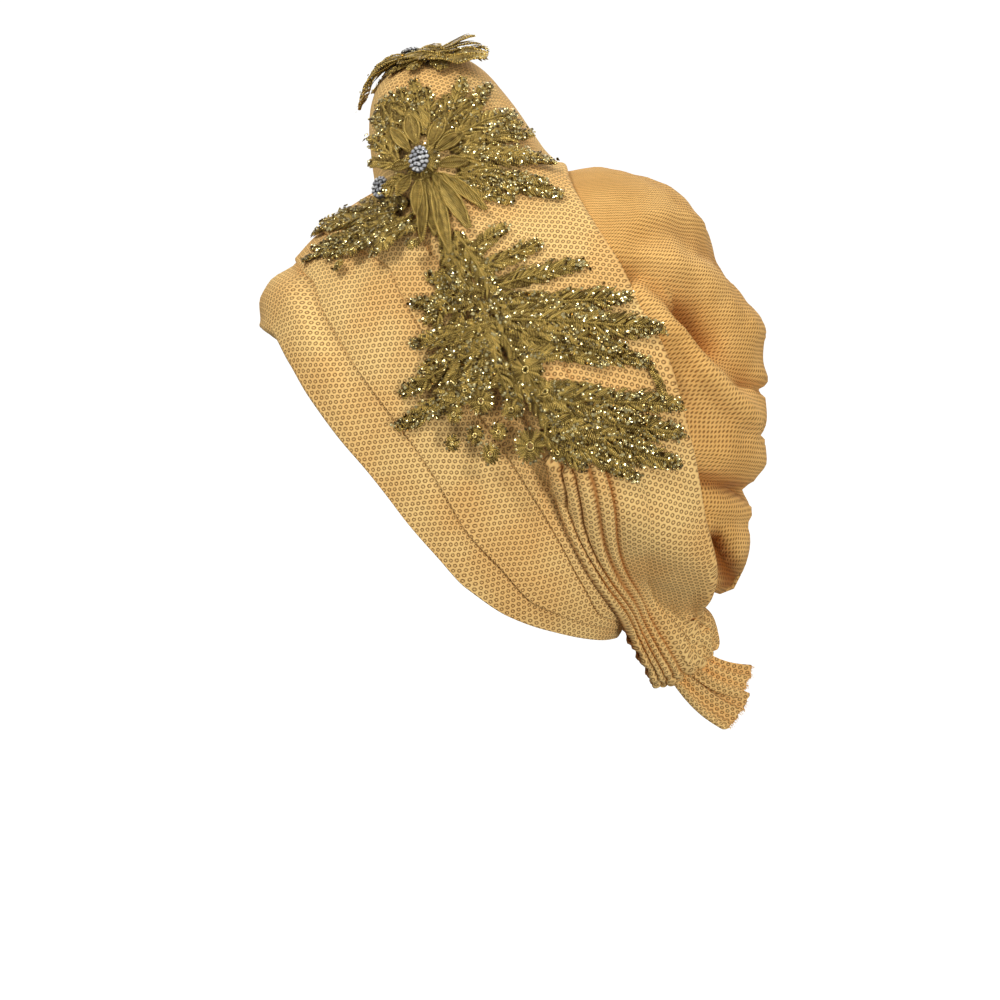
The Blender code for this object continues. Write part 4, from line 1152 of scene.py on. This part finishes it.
    def build_discs(self, name):
        """Six-sided sequins, slightly domed, each tipped its own way and with a painted glint, dark to
        bright, in its tone.
        """
        rows = np.array(self.discs)
        x, y, off, radius, tilt_x, tilt_y, tone = rows.T
        normal = self.field.normals(x, y)
        centre = self.field.points(x, y, off)
        side = unit(np.cross(normal, [0.13, 0.21, 0.97]))
        other = np.cross(normal, side)
        tipped = unit(normal + tilt_x[:, None] * side + tilt_y[:, None] * other)
        side = unit(np.cross(tipped, other))
        other = np.cross(tipped, side)
        turns = np.arange(6) * np.pi / 3
        ring = (centre[:, None] + radius[:, None, None] * (side[:, None] * np.cos(turns)[:, None]
                + other[:, None] * np.sin(turns)[:, None]))
        tips = [centre[:, None] + tipped[:, None] * thick * MM for thick in (0.16, -0.08)]
        points = np.concatenate([ring, *tips], axis=1)
        one = [[i, (i + 1) % 6, 6] for i in range(6)] + [[(i + 1) % 6, i, 7] for i in range(6)]
        faces = [[k * 8 + i for i in face] for k in range(len(rows)) for face in one]
        discs = add_mesh(name, points, faces, SEQUIN, smooth_shaded=False)
        add_tone(discs, np.repeat(tone, 8))
        return discs

    def build_balls(self, name):
        rows = np.array(self.balls)
        x, y, off, radius, tone = rows.T
        centre = self.field.points(x, y, off)
        ball, one = BALL
        points = centre[:, None] + radius[:, None, None] * ball
        count = len(ball)
        faces = [[k * count + i for i in face] for k in range(len(rows)) for face in one]
        balls = add_mesh(name, points, faces, BEAD)
        add_tone(balls, np.repeat(tone, count))
        return balls


def ball_mesh():
    """Points and faces of a ball of radius 1."""
    bm = bmesh.new()
    bmesh.ops.create_icosphere(bm, subdivisions=2, radius=1.0)
    points = np.array([vert.co for vert in bm.verts])
    faces = [[vert.index for vert in face.verts] for face in bm.faces]
    bm.free()
    return points, faces


BALL = ball_mesh()


def add_tone(piece, tone):
    attribute = piece.data.attributes.new("tone", "FLOAT", "POINT")
    attribute.data.foreach_set("value", np.asarray(tone, np.float32))


STITCH_PITCH = 0.00085


def gold_material(name, dark, bright, roughness, metallic, stitched):
    """Metallic thread or foil whose depth of colour follows each stitch's own tone."""
    material, tree, shader = new_material(name, roughness, metallic)
    shader.inputs["Specular IOR Level"].default_value = 0.2
    tone = node(tree, "Attribute", attribute_name="tone", out=2)
    place = node(tree, "TexCoord", out=3)
    patch = node(tree, "TexNoise", place, None, 420.0, 3.0)
    share = node(tree, "Math", tone, node(tree, "Math", patch, 0.5, operation="SUBTRACT"), operation="ADD")
    if stitched:
        along, across, _ = parts_of(tree, node(tree, "UVMap"))
        slanted = node(tree, "Math", across, 0.6, along, operation="MULTIPLY_ADD")
        turned = node(tree, "Math", slanted, 2 * math.pi / STITCH_PITCH, operation="MULTIPLY")
        thread = node(tree, "Math", turned, operation="SINE")
        share = node(tree, "Math", thread, 0.42, share, operation="MULTIPLY_ADD")
        add_bump(tree, shader, thread, 0.8, 0.0003)
    tree.links.new(mixed(tree, stepped(tree, share, 0.0, 1.05), dark, bright), shader.inputs["Base Color"])
    return material


SATIN = gold_material("satin_gold", (0.045, 0.018, 0.001), (0.92, 0.64, 0.165), 0.36, 0.45, True)
# Sequin foil: each sequin's tone, dark to bright at random, paints its glint
SEQUIN = gold_material("sequin_foil", (0.08, 0.035, 0.003), (1.0, 0.86, 0.42), 0.16, 0.90, False)
BEAD = gold_material("gold_bead", (0.30, 0.20, 0.04), (0.95, 0.78, 0.32), 0.22, 0.9, False)

# Fronds by the pixels of the photograph at their base and tip, with their half width in mm and their glitter.
# The gain is how much wider a frond or a petal is made than its row says.
FROND_GAIN = 1.45
PETAL_GAIN = 1.25
LOWER_FRONDS = (
    (470, 262, 504, 229, 4.5, 0.5), (478, 272, 540, 244, 5.0, 0.6), (492, 288, 584, 264, 5.5, 0.6),
    (500, 306, 628, 298, 7.0, 0.8), (505, 322, 659, 331, 8.0, 0.8), (515, 338, 646, 362, 6.5, 0.8),
    (520, 352, 604, 366, 3.4, 0.4), (522, 368, 575, 354, 3.0, 0.3), (535, 390, 618, 398, 4.0, 0.5),
    (540, 402, 677, 406, 7.0, 0.9), (545, 416, 680, 434, 7.5, 0.9), (550, 428, 676, 463, 7.0, 0.9),
    (548, 436, 636, 479, 5.0, 0.9), (540, 432, 584, 466, 4.0, 0.7), (645, 360, 664, 404, 1.6, 0.3),
    (484, 292, 430, 276, 4.5, 0.5), (492, 304, 414, 303, 5.0, 0.7), (497, 324, 416, 344, 6.0, 0.7),
    (500, 346, 404, 394, 6.5, 0.7), (504, 366, 400, 426, 6.0, 0.7), (505, 384, 434, 416, 4.5, 0.6),
    (452, 240, 482, 318, 4.5, 0.5), (466, 246, 512, 330, 5.0, 0.5), (486, 300, 540, 372, 5.0, 0.4),
    (478, 322, 512, 402, 5.5, 0.4), (502, 334, 556, 420, 5.5, 0.4), (462, 300, 448, 366, 5.0, 0.6),
    (478, 344, 470, 402, 5.0, 0.5), (446, 232, 452, 300, 4.5, 0.5), (520, 380, 560, 440, 4.5, 0.5),
    (440, 226, 470, 300, 4.0, 0.4), (455, 232, 500, 300, 4.0, 0.4), (448, 262, 438, 330, 4.0, 0.6),
    (470, 280, 426, 322, 4.0, 0.6), (480, 300, 500, 370, 4.0, 0.4), (492, 330, 482, 392, 4.0, 0.4),
    (512, 356, 522, 420, 4.0, 0.4), (500, 296, 560, 300, 4.0, 0.5), (508, 314, 606, 318, 4.5, 0.9),
    (520, 330, 624, 350, 4.5, 0.9), (530, 396, 644, 420, 4.5, 0.9), (540, 422, 652, 448, 4.5, 0.9),
    (470, 350, 424, 372, 4.0, 0.7), (482, 370, 440, 402, 4.0, 0.6), (494, 300, 470, 350, 4.0, 0.4),
)
# Florets by the pixel at their middle, with their radius in mm
LOWER_FLORETS = (
    (459, 419, 4.5), (457, 446, 3.8), (480, 441, 4.5), (503, 438, 4.3), (495, 459, 4.8), (486, 408, 6.5),
    (532, 448, 8.0), (528, 372, 7.5), (515, 416, 5.0), (470, 396, 4.0), (547, 392, 4.5), (560, 452, 4.0),
)
UPPER_FRONDS = (
    (438, 146, 463, 82, 4.5, 0.4), (430, 140, 426, 92, 4.5, 0.4), (446, 146, 509, 96, 5.5, 0.6),
    (450, 152, 526, 114, 6.0, 0.7), (455, 160, 546, 142, 7.0, 0.7), (458, 170, 560, 198, 6.5, 0.7),
    (452, 178, 526, 185, 5.0, 0.6), (448, 184, 500, 192, 4.0, 0.5), (414, 140, 402, 92, 5.0, 0.5),
    (406, 150, 382, 104, 5.0, 0.5), (400, 162, 376, 128, 4.0, 0.4), (404, 176, 380, 196, 4.0, 0.4),
    (440, 130, 484, 100, 4.5, 0.5), (460, 158, 552, 168, 6.0, 0.8), (436, 150, 446, 98, 4.5, 0.3),
    (448, 150, 489, 88, 4.5, 0.5), (455, 154, 520, 128, 4.5, 0.6), (458, 176, 546, 186, 4.5, 0.8),
    (450, 184, 512, 202, 4.0, 0.5), (408, 146, 392, 98, 4.5, 0.3), (402, 156, 378, 116, 4.5, 0.3),
    (402, 170, 376, 160, 4.0, 0.3), (410, 182, 390, 212, 4.0, 0.3), (424, 136, 414, 84, 4.5, 0.3),
)
# Petals as the fronds, without glitter, round the flower's heart
UPPER_PETALS = (
    (430, 150, 444, 118, 3.0), (437, 154, 462, 138, 3.0), (438, 166, 468, 166, 3.0),
    (434, 176, 456, 192, 3.0), (418, 148, 410, 116, 3.0), (411, 156, 394, 134, 2.6),
    (410, 170, 396, 184, 2.6), (428, 182, 438, 238, 2.8), (434, 182, 452, 256, 2.8),
    (440, 180, 470, 232, 2.8), (420, 184, 418, 220, 2.6), (412, 182, 402, 214, 2.6),
    (444, 176, 486, 214, 2.6), (424, 186, 428, 246, 2.4),
)
UPPER_HEART = (423, 165)
FRONT_FRONDS = (
    (400, 218, 316, 237, 4.5, 0.5), (402, 212, 325, 224, 4.0, 0.5), (404, 206, 343, 214, 4.0, 0.4),
    (406, 200, 364, 203, 3.5, 0.3), (398, 226, 307, 262, 4.5, 0.6), (402, 232, 335, 258, 4.5, 0.6),
    (408, 236, 362, 256, 4.0, 0.5), (416, 214, 384, 232, 4.5, 0.4), (420, 220, 398, 246, 4.0, 0.4),
    (404, 222, 314, 250, 4.0, 0.6), (396, 214, 332, 230, 4.0, 0.5), (410, 240, 382, 262, 4.0, 0.4),
    (414, 226, 372, 243, 4.0, 0.5), (412, 204, 380, 212, 4.0, 0.3),
)
FRONT_FLORETS = (
    (344, 270, 3.5), (331, 258, 3.2), (362, 259, 3.5), (393, 251, 6.5), (422, 241, 4.0), (427, 260, 3.6),
)
# Crest leaves as angle and reach in shares of LACE_SPAN, half width in mm and how far the tip lifts
CREST_FRONDS = (
    (-40, 0.30, 6, 1), (-75, 0.28, 6, 1), (-110, 0.28, 6, 0), (-145, 0.36, 6, 1), (176, 0.42, 6.5, 3),
    (140, 0.30, 6, 3), (95, 0.22, 6, 2), (50, 0.24, 6, 2), (4, 0.34, 6.5, 6), (26, 0.30, 6, 8),
    (-18, 0.29, 5.5, 3),
)
# The crest ribbon's route over the peak, right and up of the motif's middle, and its lift, in mm
CREST_RIBBON = (
    (-33, -14, 0.5), (-20, -11, 3), (-8, -8, 2), (4, -7, 4), (15, -7, 3), (24, -5, 6), (30, -3, 9),
)
# Each motif's place: its middle's azimuth and elevation, the way it faces and how far its rim may fall
MOTIFS = {
    "lace_lower": (102.5, 13.3, (0.97, -0.10, 0.22), 0.45),
    "lace_upper": (69.0, 59.6, (0.86, -0.10, 0.50), 0.50),
    "lace_front": (41.0, 47.5, (0.50, -0.60, 0.62), 0.35),
    "lace_crest": (14.0, 81.0, (0.30, -0.20, 0.93), 1.30),
}


def make_lace(tree):
    """The four lace motifs over the cloth in the tree, and the field of each."""
    laces = {}
    for seed, (solid, place) in enumerate(MOTIFS.items()):
        laces[solid] = Lace(Field(tree, *place), 31 + seed)
    rows = (("lace_lower", LOWER_FRONDS), ("lace_upper", UPPER_FRONDS), ("lace_front", FRONT_FRONDS))
    for solid, fronds in rows:
        lace = laces[solid]
        for x0, y0, x1, y1, width, glitter in fronds:
            bow = lace.rng.uniform(-1, 1) * 1.5 * MM
            base, tip = lace.field.spot((x0, y0)), lace.field.spot((x1, y1))
            lace.frond(base, tip, width * FROND_GAIN * MM, glitter, bow)
    for solid, florets in (("lace_lower", LOWER_FLORETS), ("lace_front", FRONT_FLORETS)):
        for x, y, radius in florets:
            laces[solid].floret(laces[solid].field.spot((x, y)), radius * MM)
    upper = laces["lace_upper"]
    for x0, y0, x1, y1, half in UPPER_PETALS:
        base, tip = upper.field.spot((x0, y0)), upper.field.spot((x1, y1))
        upper.petal(base, tip, half * PETAL_GAIN * MM, lift=upper.rng.uniform(0, 2) * MM)
    heart = upper.field.spot(UPPER_HEART)
    upper.pad(heart - (0, 10 * MM), heart + (0, 10 * MM), 9 * MM, 1.6 * MM, 0.6 * MM, tone=0.2)
    upper.floret(heart, 9 * MM, 0.2)
    crest = laces["lace_crest"]
    crest.ribbon(CREST_RIBBON, 6.5 * MM)
    for angle, reach, width, lift in CREST_FRONDS:
        ray = ray_at(math.radians(angle))
        crest.frond(ray * 0.04 * LACE_SPAN, ray * reach * LACE_SPAN, width * MM, 0.4, 0, lift * MM)
        ray = ray_at(math.radians(angle + 11))
        crest.petal(ray * 0.05 * LACE_SPAN, ray * reach * 0.86 * LACE_SPAN, 4.8 * MM, lift=(lift + 2.5) * MM)
    for solid, lace in laces.items():
        lace.build(solid + "_work", solid)
    return {solid: lace.field for solid, lace in laces.items()}


# Brooches


# Each brooch: the motif that carries it, its half width and height and its lift in mm, and its rings of
# stones as the ring's share of its size and the number of stones
BROOCHES = {
    "brooch_upper": ("lace_upper", (4.7, 7.6), 0.8, ((0.86, 14), (0.48, 8), (0.12, 2))),
    "brooch_front": ("lace_upper", (4.2, 6.4), 2.2, ((0.80, 13), (0.36, 6))),
    "brooch_crest": ("lace_crest", (4.2, 5.0), 1.0, ((0.78, 12), (0.32, 5))),
}


def silver_material(name, dark, bright, roughness, metallic):
    """Stone or metal whose brightness follows each part's own tone."""
    material, tree, shader = new_material(name, roughness, metallic)
    tone = node(tree, "Attribute", attribute_name="tone", out=2)
    tree.links.new(mixed(tree, tone, dark, bright), shader.inputs["Base Color"])
    return material


# Cut stones: each stone's tone, grey to white at random, paints its sparkle
STONE = silver_material("cut_stone", (0.46, 0.47, 0.50), (1.0, 1.0, 0.99), 0.06, 0.45)
SETTING = silver_material("stone_setting", (0.03, 0.028, 0.026), (0.26, 0.25, 0.24), 0.35, 0.9)


def cut_stone(centre, out, right, up, radius):
    """A round brilliant: table, crown in triangles, girdle and the start of its cone."""
    points, faces = [centre + out * radius * 0.52], []
    for scale, height, turn in ((0.52, 0.52, 0.5), (1.0, 0.12, 0.0), (1.0, 0.0, 0.0), (0.55, -0.5, 0.0)):
        for k in range(8):
            angle = (k + turn) * math.pi / 4
            ray = right * math.cos(angle) + up * math.sin(angle)
            points.append(centre + radius * (scale * ray + out * height))
    for k in range(8):
        after = (k + 1) % 8
        faces += [[0, 1 + k, 1 + after], [1 + k, 9 + k, 9 + after], [1 + k, 9 + after, 1 + after],
                  [9 + k, 17 + k, 17 + after, 9 + after], [17 + k, 25 + k, 25 + after, 17 + after]]
    faces.append([25 + k for k in range(8)][::-1])
    return points, faces


def make_brooches(fields):
    """Each brooch as cut stones in a setting of cups and claws, at its solid's place on the lace."""
    for seed, (name, (motif, half, lift, rings)) in enumerate(BROOCHES.items()):
        rng = np.random.default_rng(70 + seed)
        field = fields[motif]
        low, high = box_of(name)
        middle = (low + high) / 2
        gap = middle - np.array(field.middle)
        flat = np.array([gap @ np.array(field.right), gap @ np.array(field.up)])
        out = field.normals(flat[:1], flat[1:])[0]
        right = unit(np.cross(np.array(field.up), out))
        up = np.cross(out, right)
        middle = middle + out * lift * MM
        ball, one = BALL
        stones, stone_faces, stone_tones = [], [], []
        cups, cup_faces, cup_tones = [], [], []

        def add_ball(place, scale):
            cup_faces.extend([[len(cups) + i for i in face] for face in one])
            cups.extend(place + (ball * scale) @ np.array([right, up, out]))
            cup_tones.extend([rng.uniform(0.3, 1.0)] * len(ball))

        add_ball(middle - out * 0.6 * MM, np.array([half[0], half[1], 1.5]) * MM)
        for share, count in rings:
            for k in range(count):
                angle = 2 * math.pi * (k + 0.5 * share) / count
                across = half[0] * share * math.cos(angle) * MM
                upward = half[1] * share * math.sin(angle) * MM
                dome = (1.9 - 0.9 * share ** 2) * MM
                place = middle + right * across + up * upward + out * dome
                tilt = unit(out + 0.35 * share * (right * math.cos(angle) + up * math.sin(angle))
                            + rng.normal(0, 0.06, 3))
                points, faces = cut_stone(place, tilt, unit(np.cross(up, tilt)), up, 1.02 * MM)
                stone_faces += [[len(stones) + i for i in face] for face in faces]
                stones += points
                # Each stone's painted sparkle, at random
                stone_tones += [rng.uniform()] * len(points)
                between = angle + math.pi / count
                claw = right * math.cos(between) * half[0] * share + up * math.sin(between) * half[1] * share
                add_ball(middle + claw * MM + out * (dome + 0.35 * MM), 0.42 * MM)
                add_ball(place - out * 0.5 * MM, np.array([1.2, 1.2, 0.7]) * MM)
        gems = add_mesh(name + "_stones", stones, stone_faces, STONE, smooth_shaded=False)
        add_tone(gems, stone_tones)
        setting = add_mesh(name + "_setting", cups, cup_faces, SETTING)
        add_tone(setting, cup_tones)
        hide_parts(name)
        for piece in (gems, setting):
            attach(piece, "root")


# Stage, light and camera


FLOOR_BELOW = 1.2


def make_stage():
    """A pale floor well below, which curves up far away on all sides."""
    far = [(r, 0.0) for r in (0.0, 0.5, 1.5, 3.0)]
    far += [(3.0 + 1.6 * math.sin(t), 1.6 - 1.6 * math.cos(t)) for t in np.linspace(0.1, math.pi / 2, 14)]
    far += [(4.6, 5.0)]
    turns = np.linspace(0, 2 * np.pi, 64, endpoint=False)[:, None]
    radius, height = np.array(far).T
    level = height + 0 * turns - FLOOR_BELOW
    points = np.stack([radius * np.cos(turns), radius * np.sin(turns), level], axis=-1)
    material, _, shader = new_material("pale_floor", 0.9)
    shader.inputs["Base Color"].default_value = (0.90, 0.90, 0.895, 1)
    shader.inputs["Emission Color"].default_value = (1, 1, 1, 1)
    shader.inputs["Emission Strength"].default_value = 0.68
    floor = add_mesh("floor", points, quads(64, len(far), True, False), material)
    floor.visible_diffuse = floor.visible_glossy = floor.visible_shadow = False


# Each area light's place, size in metres and power in watts, and where they all aim
LIGHTS = (
    ("key", (1.25, -1.05, 1.4), 0.35, 21.5), ("fill", (1.6, 0.9, -0.35), 0.45, 14.5),
    ("top", (0.3, 0.8, 1.8), 0.5, 7.0), ("back", (-1.6, 0.2, 0.9), 1.2, 8.0),
)
AIM = (0, 0.02, -0.11)


def area_light(name, place, size, power):
    light = bpy.data.lights.new(name, "AREA")
    light.size = size
    light.energy = power
    lamp = bpy.data.objects.new(name, light)
    lamp.location = place
    lamp.rotation_euler = (Vector(AIM) - Vector(place)).to_track_quat("-Z", "Y").to_euler()
    bpy.context.scene.collection.objects.link(lamp)


def make_light_and_camera():
    """A soft world glow that is brighter above, four area lights and the photograph's camera."""
    world = bpy.data.worlds.new("studio")
    world.use_nodes = True
    tree = world.node_tree
    upward = parts_of(tree, node(tree, "TexCoord"))[2]
    glow = stepped(tree, upward, -0.7, 0.9, 0.25, 0.50)
    tree.links.new(glow, tree.nodes["Background"].inputs["Strength"])
    tree.nodes["Background"].inputs["Color"].default_value = (1, 0.99, 0.97, 1)
    bpy.context.scene.world = world
    for row in LIGHTS:
        area_light(*row)
    bpy.context.scene.view_settings.view_transform = "Standard"
    camera = bpy.data.cameras.new("camera")
    camera.sensor_width = 36
    camera.angle = 2 * math.atan(HALF_FRAME / EYE_AWAY)
    eye = bpy.data.objects.new("camera", camera)
    eye.location = EYE_PLACE
    eye.rotation_euler = (math.pi / 2, 0, math.pi / 2)
    bpy.context.scene.collection.objects.link(eye)
    bpy.context.scene.camera = eye


make_stage()
make_light_and_camera()
cloth = make_cloth()
fields = make_lace(cloth_tree([piece for piece in cloth if piece.name != "tail_fray"]))
make_brooches(fields)
